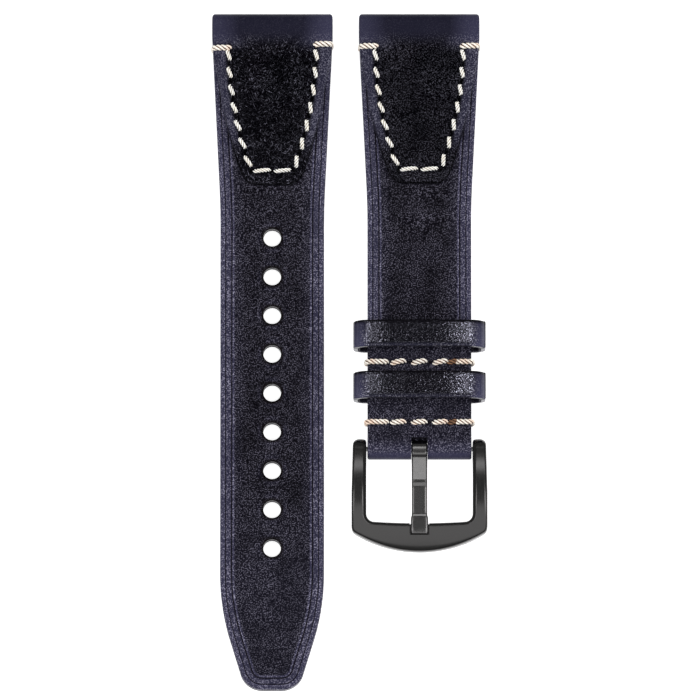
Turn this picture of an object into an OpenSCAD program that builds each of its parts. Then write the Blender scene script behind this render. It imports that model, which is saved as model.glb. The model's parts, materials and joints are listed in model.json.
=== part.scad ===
// Two-piece leather watch strap, laid flat: the long punched half on the left and the short half
// with two keepers and a tang buckle on the right. Millimetres, Z up, lug ends towards +Y.

/* [Strap] */
// Width at the lug end of both halves
lug_w = 21.2; // [18:0.1:24]
// Width of both halves below the taper
body_w = 18.2; // [16:0.1:20]
// Length of the long half from nose to tip
long_len = 120.2; // [110:0.1:135]
// Length of the short half from nose to the fold round the buckle bar
short_len = 79.55; // [70:0.05:90]
// Distance between the centre lines of the two halves
strap_pitch = 25.8; // [25:0.1:40]
// Distance from the nose at which the sides stop narrowing
taper_to = 38; // [30:1:60]
// Thickness of the long half below the padding
long_body_t = 2.15; // [1.8:0.05:3]
// Thickness of the short half below the padding
short_body_t = 2.4; // [2:0.05:3]
// Thickness of the padded part next to the lug, without the wrap
pad_t = 3.4; // [2.6:0.1:4.5]
// Thickness of the lining
lining_t = 1; // [0.6:0.1:1.4]
// Thickness of the outer leather over the filler
leather_t = 1.15; // [0.8:0.05:1.5]
// Height of the short half above the table, so that a loop can pass below it
short_lift = 1.5; // [1.3:0.1:3]

/* [Lug wrap] */
// Radius of the hole for the lug bar
lug_bore_r = 1; // [0.7:0.05:1.3]
// Thickness of the wrap leather
wrap_t = 1.1; // [0.8:0.1:1.5]
// Thickness of the wrap at the thinned end of its tongue
wrap_end_t = 0.6; // [0.4:0.1:1]
// Length of the tongue of the wrap from the nose
wrap_len = 30.8; // [24:0.1:40]
// Length of the flap of the wrap below the strap
flap_len = 12.15; // [9:0.05:16]
// Width between the two lines of stitches at the lug end
stitch_line_w = 15.5; // [12:0.1:17]
// Distance from the nose to the first awl holes
stitch_first = 6.1; // [5.5:0.1:8]
// Distance from the nose to the row of stitches across the tongue
stitch_last = 28.2; // [20:0.1:36]

/* [Tip and holes] */
// Number of buckle holes
hole_count = 9; // [5:1:11]
// Radius of the buckle holes
hole_r = 1.55; // [1.2:0.05:1.8]
// Distance between the buckle holes
hole_pitch = 6.9; // [5:0.01:8]
// Distance from the nose of the long half to the first hole
hole_first = 39.95; // [38:0.05:60]
// Radius of the side arcs that narrow the tip
tip_side_r = 40; // [25:1:80]
// Angle through which each side arc turns
tip_turn = 17; // [10:1:30]
// Distance from the tip at which the side arcs start
tip_from = 20.6; // [15:0.1:30]
// Radius of the two corners of the tip
tip_corner_r = 4; // [2:0.1:5]

/* [Keepers] */
// Free space beside the strap inside a keeper
keeper_side_gap = 1.3; // [0.5:0.1:2]
// Length of a keeper along the strap
keeper_len = 4.75; // [3.5:0.05:8]
// Outer height of the free keeper
free_keeper_h = 7.4; // [6.5:0.1:9]
// Height of the top of the fixed keeper above the table
fixed_keeper_top = 8; // [7.5:0.1:10]
// Thickness of the outer leather of a keeper
keeper_t = 0.85; // [0.6:0.05:1.2]
// Thickness of the lining of a keeper
keeper_lining_t = 0.35; // [0.2:0.05:0.6]
// Distance from the nose to the near side of the free keeper
free_keeper_s = 55.4; // [42:0.1:56]
// Distance from the nose to the near side of the fixed keeper
fixed_keeper_s = 64.6; // [64:0.1:66]

/* [Buckle] */
// Height of the spring bar above the table
bar_z = 2.7; // [2.5:0.05:3.5]
// Gap between the strap and each arm of the buckle
buckle_side_gap = 0.2; // [0.15:0.05:0.6]
// Width of each arm of the buckle, seen from above
arm_w = 2.6; // [2:0.1:4]
// Distance from the bar to the outer edge of the crossbar at the middle
buckle_reach = 18; // [16:0.1:24]
// Distance from the bar to the inner edge of the crossbar
window_reach = 13; // [10:0.1:18]
// Thickness of the arched frame
frame_t = 2.3; // [1.8:0.1:3]
// Radius of the ears round the spring bar
ear_r = 1.8; // [1.5:0.1:2.2]
// Radius of the arch of the frame, seen from the side
arch_r = 29; // [24:1:60]
// Width of the tongue
tongue_w = 2.75; // [2:0.05:4]
// Width of the tip of the tongue
tongue_tip_w = 3.05; // [2:0.05:4.2]
// Length of the tongue from the bar
tongue_len = 15.05; // [13.5:0.05:20]

/* [Spring bar] */
// Radius of the barrel of the spring bar
barrel_r = 0.8; // [0.7:0.05:1]
// How much shorter the barrel is than the strap is wide
barrel_short = 0.3; // [0.2:0.1:1]
// Radius of the tips
tip_pin_r = 0.42; // [0.35:0.01:0.5]
// How far each tip reaches past the barrel
tip_out = 1.35; // [1:0.05:1.6]

/* [Thread] */
// Radius of the stitching thread
thread_r = 0.3; // [0.2:0.05:0.45]
// Distance from the nose to the upper row at the buckle end
row_upper_s = 62.4; // [61.5:0.1:63.5]
// Distance from the nose to the lower row at the buckle end
row_lower_s = 73.1; // [71:0.1:74]
// Sideways lean of each stitch at its ends
stitch_slant = 0.2; // [0:0.05:0.25]

/* [Clearances] */
// Radial clearance of every turning or sliding pin
pin_gap = 0.05; // [0.02:0.01:0.1]
// Gap between the ends of two leathers that butt
butt_gap = 0.15; // [0.05:0.05:0.3]
// Gap on each side of the tongue in its slot and its notch
tongue_gap = 0.2; // [0.1:0.05:0.4]
// Room behind the knuckle of the tongue, so that it can swing up
swing_gap = 0.5; // [0.3:0.05:1]

/* [Hidden] */
$fn = 48;
nose_y = long_len / 2;
thread_out = 0.35;
leg_r = thread_r * 0.9;
stitch_end = thread_r / 2;
row_pitch = body_w / 4.92;

buckle_in_w = body_w + 2 * buckle_side_gap;
buckle_half = buckle_in_w / 2 + arm_w;
buckle_out_w = 2 * buckle_half;
long_x = -(strap_pitch + buckle_half - lug_w / 2 - thread_out) / 2;
short_x = long_x + strap_pitch;
all_w = 2 * lug_w;
all_h = 4 * pad_t;

ring_r = lug_bore_r + wrap_t;
throat = 2 * ring_r + 0.2;
lug_mid_t = 2 * ring_r - wrap_t;
lining_from = flap_len + butt_gap;
pad_peak = lining_from + 1.7;
pad_to = taper_to + 6;
lift_from = 0.65 * flap_len;
lift_over = pad_to / 2;
taper_soft = 0.184 * taper_to;
taper_slope = (lug_w - body_w) / 2 / (taper_to - throat - taper_soft / 2);
core_inset = 1.4;
core_gap = 0.3;
core_long_end = taper_to - 2;
crease_from = 1.5 * stitch_first;
crease_in = [0.8, 1.9];
crease_w = 0.25;
crease_d = 0.12;
stitch_curve = 0.0083;
patch_margin = 1.95;
patch_blend = 8;
patch_end_r = wrap_len - stitch_last + 0.6;

fold_r = barrel_r + 1.05;
bar_s = short_len - fold_r;
bar_y = nose_y - bar_s;
fold_bore_r = barrel_r + pin_gap;
fold_blend = 4;
flap_z = 1.2;
join_s = fixed_keeper_s - 5;
join_len = 4;
stack_mid_z = 2.2;
stack_lining_t = 0.8;
stack_top_z = stack_mid_z + stack_lining_t + leather_t;
flap_s = join_s + 1.4;
belly_ramp = 1;
lining_end = bar_s - fold_r - 0.55;
keeper_wall = keeper_t + keeper_lining_t;
keeper_w = body_w + 2 * (keeper_side_gap + keeper_wall);
keeper_bottom_z = stack_mid_z - keeper_wall;
keeper_r = 2.2;
slot_half = tongue_w / 2 + tongue_gap;

arch_u = 4.8;
arch_z = bar_z + ear_r - sqrt(arch_r * arch_r - arch_u * arch_u);
end_r = 22.5;
window_r = 1.4;
ear_corner_r = 1.2;
ear_inner_r = 0.8;
arm_bow = 0.25;
notch_reach = tongue_len + tongue_gap;
notch_z = 2.25;
knuckle_r = fold_bore_r + 0.65;
slot_back = knuckle_r + swing_gap;
tongue_t = 1.2;
bend_1 = [5.85, 4.62];
bend_2 = [11.75, 3.88];
tip_z = notch_z + pin_gap;

barrel_len = body_w - barrel_short;
barrel_bore_r = barrel_r - 0.2;
flange_r = barrel_bore_r - pin_gap;
flange_t = 0.3;
lip_t = 0.3;
barrel_half = barrel_len / 2;
flange_x = barrel_half - lip_t - flange_t;
spring_half = flange_x - 0.03;
spring_r = 0.38;
wire_r = 0.1;
spring_turns = 14;

// 0 before t = 0, 1 after t = 1, and a smooth rise between.
function ease(t) = t <= 0 ? 0 : t >= 1 ? 1 : (1 - cos(180 * t)) / 2;

// Half the width of a strap at a distance s from its nose.
function strap_half(s) =
    s <= throat ? lug_w / 2
    : s <= taper_to - taper_soft ? lug_w / 2 - taper_slope * (s - throat)
    : s <= taper_to ? body_w / 2 + taper_slope * pow(taper_to - s, 2) / (2 * taper_soft)
    : body_w / 2;

// Thickness at s, without the wrap: a padded swelling that thins to the body.
function thick(s, body_t) =
    s <= pad_peak ? lug_mid_t + (pad_t - lug_mid_t) * ease((s - throat) / (pad_peak - throat))
    : pad_t + (body_t - pad_t) * ease((s - pad_peak) / (pad_to - pad_peak));

// Thickness of the tongue of the wrap at s.
function tongue_leather(s) =
    wrap_t + (wrap_end_t - wrap_t) * ease((s - pad_peak) / (wrap_len - pad_peak));

// How far the joint between body and fold has been passed at s, from 0 to 1.
function joined(s) = ease((s - join_s) / join_len);

// How far the underside is raised at s: k is 0 for the flat long half and 1 for the short half.
function lift(s, k) = k * short_lift * ease((s - lift_from) / lift_over);

// Heights of the short half at s: underside and top of its lining, and top of the outer leather.
function short_floor(s) = lift(s, 1) + (stack_mid_z - short_lift) * joined(s);
function short_mid(s) = short_floor(s) + lining_t + (stack_lining_t - lining_t) * joined(s);
function short_top(s) =
    s <= join_s ? short_floor(s) + thick(s, short_body_t)
    : short_lift + short_body_t + (stack_top_z - short_lift - short_body_t) * joined(s)
        + (bar_z + fold_r - stack_top_z) * ease((s - bar_s + fold_blend) / fold_blend);

// Height of the underside of the fold at s.
function fold_floor(s) = flap_z + (bar_z - fold_r - flap_z) * ease((s - bar_s + fold_blend) / fold_blend);

// Half the distance between the two lines of stitches at s, and half the width of the tongue.
function stitch_half(s) = stitch_line_w / 2 - stitch_curve * pow(s - stitch_first, 2);
function patch_half(s) =
    stitch_half(s) + patch_margin
        + (strap_half(s) - stitch_half(s) - patch_margin) * (1 - ease((s - stitch_first) / patch_blend));

// Right-hand side of an outline, given as pairs of x and s, mirrored to a closed outline.
module plan(side) {
    right = [for (p = side) [p[0], nose_y - p[1]]];
    left = [for (i = [len(side) - 1:-1:0]) [-side[i][0], nose_y - side[i][1]]];
    polygon(concat(right, left));
}

// Distances from the nose at which the outline of a strap bends.
side_stations = concat(
    [for (i = [0:3]) throat + (taper_to - taper_soft - throat) * i / 3],
    [for (i = [1:4]) taper_to - taper_soft * (1 - i / 4)]);

function strap_side(d) = concat([[lug_w / 2 - d, 0]], [for (s = side_stations) [strap_half(s) - d, s]]);

// The tip: a long arc on each side, a corner arc, and a short flat end, all moved inwards by d.
tip_h = (body_w / 2 - tip_side_r) * cos(tip_turn) + tip_side_r - tip_from * sin(tip_turn);
tip_corner_x = (tip_h - tip_corner_r + tip_corner_r * sin(tip_turn)) / cos(tip_turn);

function tip_side(d) = concat(
    [for (i = [0:6])
        let (a = tip_turn * i / 6)
        [body_w / 2 - tip_side_r + (tip_side_r - d) * cos(a),
            long_len - tip_from + (tip_side_r - d) * sin(a)]],
    [for (i = [0:6])
        let (a = tip_turn + (90 - tip_turn) * i / 6)
        [tip_corner_x + (tip_corner_r - d) * cos(a),
            long_len - tip_corner_r + (tip_corner_r - d) * sin(a)]]);

function long_side(d) = concat(strap_side(d), tip_side(d));

function short_side(d) = concat(strap_side(d), [[body_w / 2 - d, short_len + 1]]);

function patch_side() =
    let (turn = 20, r = patch_end_r, s0 = wrap_len - r)
    concat(
        [[lug_w / 2, 0], [lug_w / 2, throat]],
        [for (i = [0:5]) let (s = stitch_first + patch_blend * i / 5) [patch_half(s), s]],
        [for (i = [1:4]) let (s = s0 + (stitch_first + patch_blend - s0) * (1 - i / 4)) [patch_half(s), s]],
        [for (i = [1:6])
            let (a = turn + (90 - turn) * i / 6)
            [patch_half(s0) + r * (cos(a) - cos(turn)), s0 + r * (sin(a) - sin(turn)) * 1.52]]);

// Side view, given as pairs of s and height, carried across the whole width.
module profile(points) {
    translate([0, nose_y, 0])
        rotate([90, 0, -90])
            linear_extrude(all_w, center = true)
                polygon(points);
}

// The same for points measured from the spring bar, with a width of its own.
module bar_profile(w) {
    translate([0, bar_y, 0])
        rotate([90, 0, -90])
            linear_extrude(w, center = true)
                children();
}

// A round rod between two points.
module rod(a, b, r) {
    d = b - a;
    translate(a)
        rotate([0, acos(d[2] / norm(d)), atan2(d[1], d[0])])
            cylinder(h = norm(d), r = r);
}

// Stations along the padded part and along the body.
pad_stations = concat(
    [for (i = [0:3]) throat + (lining_from - throat) * i / 3],
    [for (i = [1:11]) lining_from + (pad_to - lining_from) * i / 11]);

// Lug wrap, shared by both halves

function tongue_top(s, body_t, k) = lift(s, k) + thick(s, body_t) + tongue_leather(s);

// k is 0 for the flat long half and 1 for the raised short half.
module lug_wrap(body_t, k) {
    tongue_s = concat([ring_r], [for (s = pad_stations) if (s < wrap_len - 1) s], [wrap_len]);
    flap_list = concat([for (s = pad_stations) if (s < flap_len) s], [flap_len]);
    difference() {
        union() {
            intersection() {
                linear_extrude(all_h) plan(strap_side(0));
                union() {
                    translate([0, nose_y - ring_r, ring_r])
                        rotate([0, 90, 0])
                            cylinder(h = all_w, r = ring_r, center = true);
                    profile(concat(
                        [[ring_r, 2 * ring_r], [throat, 2 * ring_r], [throat, lining_t]],
                        [for (s = flap_list) [s, lift(s, k) + lining_t]],
                        [for (i = [len(flap_list) - 1:-1:0]) [flap_list[i], lift(flap_list[i], k)]],
                        [[ring_r, 0]]));
                }
            }
            intersection() {
                linear_extrude(all_h) plan(patch_side());
                profile(concat(
                    [for (s = tongue_s) [s, tongue_top(s, body_t, k)]],
                    [for (i = [len(tongue_s) - 1:-1:0])
                        [tongue_s[i], lift(tongue_s[i], k) + thick(tongue_s[i], body_t)]]));
            }
        }
        translate([0, nose_y - ring_r, ring_r])
            rotate([0, 90, 0])
                cylinder(h = all_w + 1, r = lug_bore_r, center = true);
    }
}

// One thread round the tongue: a slanted run on top between awl holes, a straight run below, and a
// leg in every hole. The last runs turn round both edges of the strap.
module patch_thread(body_t, k) {
    steps = 7;
    side = [for (i = [0:steps])
        let (s = stitch_first + (stitch_last - stitch_first) * i / steps)
        [stitch_half(s), s]];
    path = concat(side, [[0, stitch_last]], [for (i = [steps:-1:0]) [-side[i][0], side[i][1]]]);
    edge = strap_half(stitch_first) + thread_out - thread_r;
    function top_at(p) = [p[0], nose_y - p[1], tongue_top(p[1], body_t, k) + thread_r / 3];
    function low_at(p) = [p[0], nose_y - p[1], lift(p[1], k) + thread_r];
    for (i = [0:len(path) - 1]) {
        rod(low_at(path[i]) - [0, 0, leg_r], top_at(path[i]) - [0, 0, 0.02], leg_r);
        if (i > 0) {
            along = (path[i] - path[i - 1]) / norm(path[i] - path[i - 1]);
            across = [along[1], -along[0]];
            from = along * stitch_end - across * stitch_slant;
            rod(top_at(path[i - 1] + from), top_at(path[i] - from), thread_r);
            rod(low_at(path[i - 1]), low_at(path[i]), thread_r * 0.8);
        }
    }
    for (m = [-1, 1]) {
        a = [m * side[0][0], stitch_first];
        b = [m * edge, stitch_first];
        rod(top_at(a) - [m * stitch_end, 0, 0], top_at(b) + [m * (leg_r + 0.01), 0, 0], thread_r);
        rod(low_at(a), low_at(b), thread_r * 0.8);
        rod(low_at(b) - [0, 0, leg_r], top_at(b), leg_r);
    }
}

// Long half

function long_top(s) = thick(s, long_body_t);

// The two creases pressed round the edge of an outer leather.
module creases_long() {
    for (d = crease_in) {
        intersection() {
            translate([0, nose_y - long_len, 0])
                cube([all_w, 2 * (long_len - crease_from), 2 * all_h], center = true);
            linear_extrude(all_h)
                difference() {
                    plan(long_side(d));
                    plan(long_side(d + crease_w));
                }
            profile(concat(
                [for (s = pad_stations) [s, long_top(s) - crease_d]],
                [[long_len + 1, long_body_t - crease_d], [long_len + 1, all_h], [throat, all_h]]));
        }
    }
}

module long_holes(h) {
    for (i = [0:hole_count - 1]) {
        translate([0, nose_y - hole_first - i * hole_pitch, -1])
            cylinder(h = h + 2, r = hole_r);
    }
}

// Outline of a filler that ends at s.
function filler_side(end) = concat(
    [[lug_w / 2 - core_inset, throat + core_gap]],
    [for (s = side_stations) if (s > throat + core_gap && s < end) [strap_half(s) - core_inset, s]],
    [[strap_half(end) - core_inset, end]]);

// The filler, or the room for it with its underside moved down by drop.
module long_filler(drop) {
    stations = [for (s = pad_stations) if (s < pad_to - 1) s];
    intersection() {
        translate([0, 0, -drop]) linear_extrude(all_h) plan(filler_side(core_long_end));
        profile(concat(
            [for (s = stations) [s, long_top(s) - leather_t]],
            [[stations[len(stations) - 1], lining_t - drop], [throat, lining_t - drop]]));
    }
}

module long_top_leather() {
    color("#23212d")
        translate([long_x, 0, 0])
            difference() {
                intersection() {
                    linear_extrude(all_h) plan(long_side(0));
                    profile(concat(
                        [for (s = pad_stations) [s, long_top(s)]],
                        [[long_len + 1, long_body_t], [long_len + 1, lining_t], [throat, lining_t]]));
                }
                long_filler(lining_t / 2);
                creases_long();
                long_holes(all_h);
            }
}

module long_lining() {
    color("#2b2935")
        translate([long_x, 0, 0])
            difference() {
                intersection() {
                    linear_extrude(lining_t) plan(long_side(0));
                    translate([0, nose_y - long_len - lining_from, 0])
                        cube([all_w, 2 * long_len, all_h], center = true);
                }
                long_holes(all_h);
            }
}

module long_core() {
    color("#6b5a48")
        translate([long_x, 0, 0])
            long_filler(0);
}

module long_lug_wrap() {
    color("#15131b")
        translate([long_x, 0, 0])
            lug_wrap(long_body_t, 0);
}

module long_patch_stitching() {
    color("#d9cdbd")
        translate([long_x, 0, 0])
            patch_thread(long_body_t, 0);
}

// Short half

short_stations = concat(pad_stations, [join_s]);
join_stations = [for (i = [1:5]) join_s + join_len * i / 5];
ring_stations = [for (i = [0:5]) bar_s - fold_blend * (1 - i / 5)];
top_stations = concat(short_stations, join_stations, ring_stations);
lining_stations = concat([for (s = short_stations) if (s >= lining_from) s], join_stations, [lining_end]);

module creases_short() {
    for (d = crease_in) {
        intersection() {
            translate([0, nose_y - (crease_from + join_s) / 2, 0])
                cube([all_w, join_s - crease_from, 2 * all_h], center = true);
            linear_extrude(all_h)
                difference() {
                    plan(short_side(d));
                    plan(short_side(d + crease_w));
                }
            profile(concat(
                [for (s = short_stations) [s, short_top(s) - crease_d]],
                [[join_s, all_h], [throat, all_h]]));
        }
    }
}

// The filler, or the room for it with its underside moved down by drop.
module short_filler(drop) {
    stations = concat(pad_stations, [join_s - 1]);
    intersection() {
        linear_extrude(all_h) plan(filler_side(join_s - 1.5));
        profile(concat(
            [for (s = stations) [s, short_top(s) - leather_t]],
            [for (i = [len(stations) - 1:-1:0]) [stations[i], short_mid(stations[i]) - drop]]));
    }
}

// Solid filling of a keeper: its outer shape and, with a wall, its hollow.
module keeper_block(w, h, r, len) {
    rotate([90, 0, 0]) {
        linear_extrude(len, center = true)
            union() {
                square([w - 2 * r, h], center = true);
                square([w, h - 2 * r], center = true);
                for (x = [-1, 1])
                    for (z = [-1, 1])
                        translate([x * (w / 2 - r), z * (h / 2 - r)]) circle(r);
            }
    }
}

module keeper_loop(w, h, r, wall, len) {
    difference() {
        keeper_block(w, h, r, len);
        keeper_block(w - 2 * wall, h - 2 * wall, r - wall, len + 2);
    }
}

// Side view of the outer leather: out along the top, round the bar, back along the fold below, and
// then round the pocket that holds the end of the lining.
function fold_outline() = concat(
    [for (s = top_stations) [s, short_top(s)]],
    [for (i = [len(ring_stations) - 1:-1:0]) [ring_stations[i], fold_floor(ring_stations[i])]],
    [[fixed_keeper_s + keeper_len + belly_ramp, flap_z], [fixed_keeper_s + keeper_len + 0.1, 0],
        [fixed_keeper_s - 0.1, 0], [fixed_keeper_s - belly_ramp, flap_z], [flap_s, flap_z]],
    [for (s = concat([flap_s], [for (j = join_stations) if (j > flap_s) j], [lining_end]))
        [s, short_floor(s)]],
    [for (i = [len(lining_stations) - 1:-1:0]) [lining_stations[i], short_mid(lining_stations[i])]],
    [for (i = [2:-1:0]) [pad_stations[i], short_mid(pad_stations[i])]]);

module short_top_leather() {
    color("#23212d")
        translate([short_x, 0, 0])
            difference() {
                intersection() {
                    linear_extrude(all_h) plan(short_side(0));
                    union() {
                        profile(fold_outline());
                        translate([0, bar_y, bar_z])
                            rotate([0, 90, 0])
                                cylinder(h = all_w, r = fold_r, center = true);
                    }
                }
                short_filler(stack_lining_t / 2);
                creases_short();
                translate([0, bar_y, bar_z])
                    rotate([0, 90, 0])
                        cylinder(h = all_w + 1, r = fold_bore_r, center = true);
                translate([-slot_half, bar_y - 2 * fold_r, -1])
                    cube([2 * slot_half, 2 * fold_r + slot_back, all_h]);
                translate([-all_w / 2, nose_y - fixed_keeper_s - keeper_len, keeper_bottom_z])
                    cube([all_w, keeper_len, keeper_wall + stack_lining_t / 2]);
            }
}

module short_lining() {
    color("#2b2935")
        translate([short_x, 0, 0])
            intersection() {
                linear_extrude(all_h) plan(short_side(0));
                profile(concat(
                    [for (s = lining_stations) [s, short_mid(s)]],
                    [for (i = [len(lining_stations) - 1:-1:0])
                        [lining_stations[i], short_floor(lining_stations[i])]]));
            }
}

module short_core() {
    color("#6b5a48")
        translate([short_x, 0, 0])
            short_filler(0);
}

module short_lug_wrap() {
    color("#15131b")
        translate([short_x, 0, 0])
            lug_wrap(short_body_t, 1);
}

module short_patch_stitching() {
    color("#d9cdbd")
        translate([short_x, 0, 0])
            patch_thread(short_body_t, 1);
}

// A row across the buckle end: four awl holes, and both end stitches carried round the edges.
module cross_row(s) {
    y = nose_y - s;
    top_z = short_top(s) + thread_r / 3;
    low_z = flap_z + thread_r;
    edge = body_w / 2 + thread_out - thread_r;
    holes = [-1.5 * row_pitch, -row_pitch / 2, row_pitch / 2, 1.5 * row_pitch];
    for (i = [0:3]) {
        rod([holes[i], y, low_z - leg_r], [holes[i], y, top_z - 0.02], leg_r);
        if (i > 0) {
            rod([holes[i - 1] + stitch_end, y + stitch_slant, top_z],
                [holes[i] - stitch_end, y - stitch_slant, top_z], thread_r);
            rod([holes[i - 1], y, low_z], [holes[i], y, low_z], thread_r * 0.8);
        }
    }
    for (m = [-1, 1]) {
        rod([m * (holes[3] - stitch_end), y, top_z], [m * (edge + leg_r + 0.01), y, top_z], thread_r);
        rod([m * holes[3], y, low_z], [m * edge, y, low_z], thread_r * 0.8);
        rod([m * edge, y, low_z - leg_r], [m * edge, y, top_z], leg_r);
    }
}

module buckle_end_stitching_upper() {
    color("#d3c0b2")
        translate([short_x, 0, 0])
            cross_row(row_upper_s);
}

module buckle_end_stitching_lower() {
    color("#d3c0b2")
        translate([short_x, 0, 0])
            cross_row(row_lower_s);
}

// Keepers

module fixed_keeper_place() {
    h = fixed_keeper_top - keeper_bottom_z;
    translate([short_x, nose_y - fixed_keeper_s - keeper_len / 2, keeper_bottom_z + h / 2])
        children();
}

module free_keeper_place() {
    translate([short_x, nose_y - free_keeper_s - keeper_len / 2, free_keeper_h / 2])
        children();
}

module fixed_keeper() {
    color("#23212d")
        fixed_keeper_place()
            keeper_loop(keeper_w, fixed_keeper_top - keeper_bottom_z, keeper_r, keeper_t, keeper_len);
}

module fixed_keeper_lining() {
    color("#3a3641")
        fixed_keeper_place()
            keeper_loop(keeper_w - 2 * keeper_t, fixed_keeper_top - keeper_bottom_z - 2 * keeper_t,
                keeper_r - keeper_t, keeper_lining_t, keeper_len);
}

module free_keeper() {
    color("#23212d")
        free_keeper_place()
            keeper_loop(keeper_w, free_keeper_h, keeper_r, keeper_t, keeper_len);
}

module free_keeper_lining() {
    color("#3a3641")
        free_keeper_place()
            keeper_loop(keeper_w - 2 * keeper_t, free_keeper_h - 2 * keeper_t,
                keeper_r - keeper_t, keeper_lining_t, keeper_len);
}

// The thread that closes the loop where its two ends meet, under the strap.
module free_keeper_seam() {
    r = 0.15;
    reach = 1.2;
    color("#d3c0b2")
        translate([short_x, nose_y - free_keeper_s - keeper_len / 2, 0])
            for (y = [-1.4, 1.4]) {
                rod([-reach, y, r + 0.02], [reach, y, r + 0.02], r);
                for (x = [-reach, reach]) {
                    rod([x, y, r], [x, y, keeper_wall - r], r * 0.9);
                    rod([x, -1.4, keeper_wall - r - 0.05], [x, 1.4, keeper_wall - r - 0.05], r * 0.8);
                }
            }
}

// Buckle

// The rounded end of the right-hand ear, from its outer side to its inner side.
ear_top = concat(
    [for (i = [0:5]) let (a = 18 * i)
        [buckle_half - arm_bow - ear_corner_r * (1 - cos(a)), -ear_r + ear_corner_r * (1 - sin(a))]],
    [for (i = [0:5]) let (a = 18 * i)
        [buckle_in_w / 2 + ear_inner_r * (1 - sin(a)), -ear_r + ear_inner_r * (1 - cos(a))]]);

// Outline of the frame from above, measured from the bar: v grows towards the crossbar.
module frame_plan() {
    difference() {
        intersection() {
            polygon(concat(
                [[-buckle_half, 0.6 * window_reach], [-buckle_half, 2 * buckle_reach],
                    [buckle_half, 2 * buckle_reach], [buckle_half, 0.6 * window_reach]],
                ear_top,
                [for (i = [len(ear_top) - 1:-1:0]) [-ear_top[i][0], ear_top[i][1]]]));
            translate([0, buckle_reach - end_r]) circle(end_r, $fn = 120);
        }
        translate([-buckle_in_w / 2, -window_reach])
            square([buckle_in_w, 2 * window_reach - window_r]);
        translate([-buckle_in_w / 2 + window_r, -window_reach])
            square([buckle_in_w - 2 * window_r, 2 * window_reach]);
        for (x = [-1, 1])
            translate([x * (buckle_in_w / 2 - window_r), window_reach - window_r]) circle(window_r);
    }
}

module buckle_frame() {
    color("#3c3d3e")
        translate([short_x, 0, 0])
            difference() {
                intersection() {
                    translate([0, bar_y, 0])
                        mirror([0, 1, 0])
                            linear_extrude(10) frame_plan();
                    union() {
                        bar_profile(all_w)
                            difference() {
                                intersection() {
                                    translate([arch_u, arch_z]) circle(arch_r, $fn = 180);
                                    square([buckle_reach + 2, all_h]);
                                }
                                translate([arch_u, arch_z]) circle(arch_r - frame_t, $fn = 180);
                            }
                        for (x = [-1, 1])
                            translate([x * (buckle_half - arm_w / 2 - 0.1), bar_y, bar_z])
                                rotate([0, 90, 0])
                                    cylinder(h = arm_w - 0.2, r = ear_r, center = true);
                    }
                }
                for (x = [-1, 1])
                    translate([x * buckle_in_w / 2, bar_y, bar_z])
                        rotate([0, 90, 0])
                            cylinder(h = 2 * tip_out - 0.2, r = tip_pin_r + pin_gap, center = true);
                translate([-tongue_tip_w / 2 - tongue_gap, bar_y - notch_reach, notch_z])
                    cube([tongue_tip_w + 2 * tongue_gap, notch_reach - window_reach + 1, all_h]);
            }
}

module buckle_tongue() {
    color("#454748")
        translate([short_x, 0, 0])
            difference() {
                union() {
                    bar_profile(tongue_w)
                        union() {
                            translate([0, bar_z]) circle(knuckle_r);
                            polygon([[0, bar_z + knuckle_r], bend_1, bend_2,
                                [tongue_len, tip_z + tongue_t * 0.9], [tongue_len, tip_z],
                                [bend_2[0] - 0.15, bend_2[1] - tongue_t],
                                [bend_1[0], bend_1[1] - tongue_t], [0.4, bar_z + 0.95]]);
                        }
                    bar_profile(tongue_tip_w)
                        polygon([bend_2, [tongue_len, tip_z + tongue_t * 0.9], [tongue_len, tip_z],
                            [bend_2[0] - 0.15, bend_2[1] - tongue_t]]);
                }
                translate([0, bar_y, bar_z])
                    rotate([0, 90, 0])
                        cylinder(h = 2 * tongue_w, r = fold_bore_r, center = true);
            }
}

// Spring bar

module on_bar() {
    translate([short_x, bar_y, bar_z])
        children();
}

module spring_bar_barrel() {
    color("#8b8d90")
        on_bar()
            difference() {
                rotate([0, 90, 0]) cylinder(h = barrel_len, r = barrel_r, center = true);
                rotate([0, 90, 0]) cylinder(h = barrel_len - 2 * lip_t, r = barrel_bore_r, center = true);
                rotate([0, 90, 0]) cylinder(h = barrel_len + 2, r = tip_pin_r + pin_gap, center = true);
            }
}

module bar_tip() {
    rotate([0, 90, 0]) {
        translate([0, 0, flange_x]) cylinder(h = flange_t - 0.02, r = flange_r);
        translate([0, 0, flange_x]) cylinder(h = barrel_half + tip_out - flange_x - 0.12, r = tip_pin_r);
        translate([0, 0, barrel_half + tip_out - 0.12])
            cylinder(h = 0.12, r1 = tip_pin_r, r2 = tip_pin_r - 0.12);
    }
}

module spring_bar_tip_left() {
    color("#9a9ca0")
        on_bar()
            mirror([1, 0, 0])
                bar_tip();
}

module spring_bar_tip_right() {
    color("#9a9ca0")
        on_bar()
            bar_tip();
}

module spring_bar_spring() {
    color("#a8aaae")
        on_bar()
            rotate([0, 90, 0])
                translate([0, 0, -spring_half])
                    linear_extrude(2 * spring_half, twist = -360 * spring_turns, slices = spring_turns * 10,
                        $fn = 5)
                        translate([spring_r, 0]) circle(wire_r);
}

long_top_leather();
long_lining();
long_core();
long_lug_wrap();
long_patch_stitching();
short_top_leather();
short_lining();
short_core();
short_lug_wrap();
short_patch_stitching();
buckle_end_stitching_upper();
buckle_end_stitching_lower();
fixed_keeper();
fixed_keeper_lining();
free_keeper();
free_keeper_lining();
free_keeper_seam();
buckle_frame();
buckle_tongue();
spring_bar_barrel();
spring_bar_tip_left();
spring_bar_tip_right();
spring_bar_spring();
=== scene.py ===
import json
import math

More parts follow.
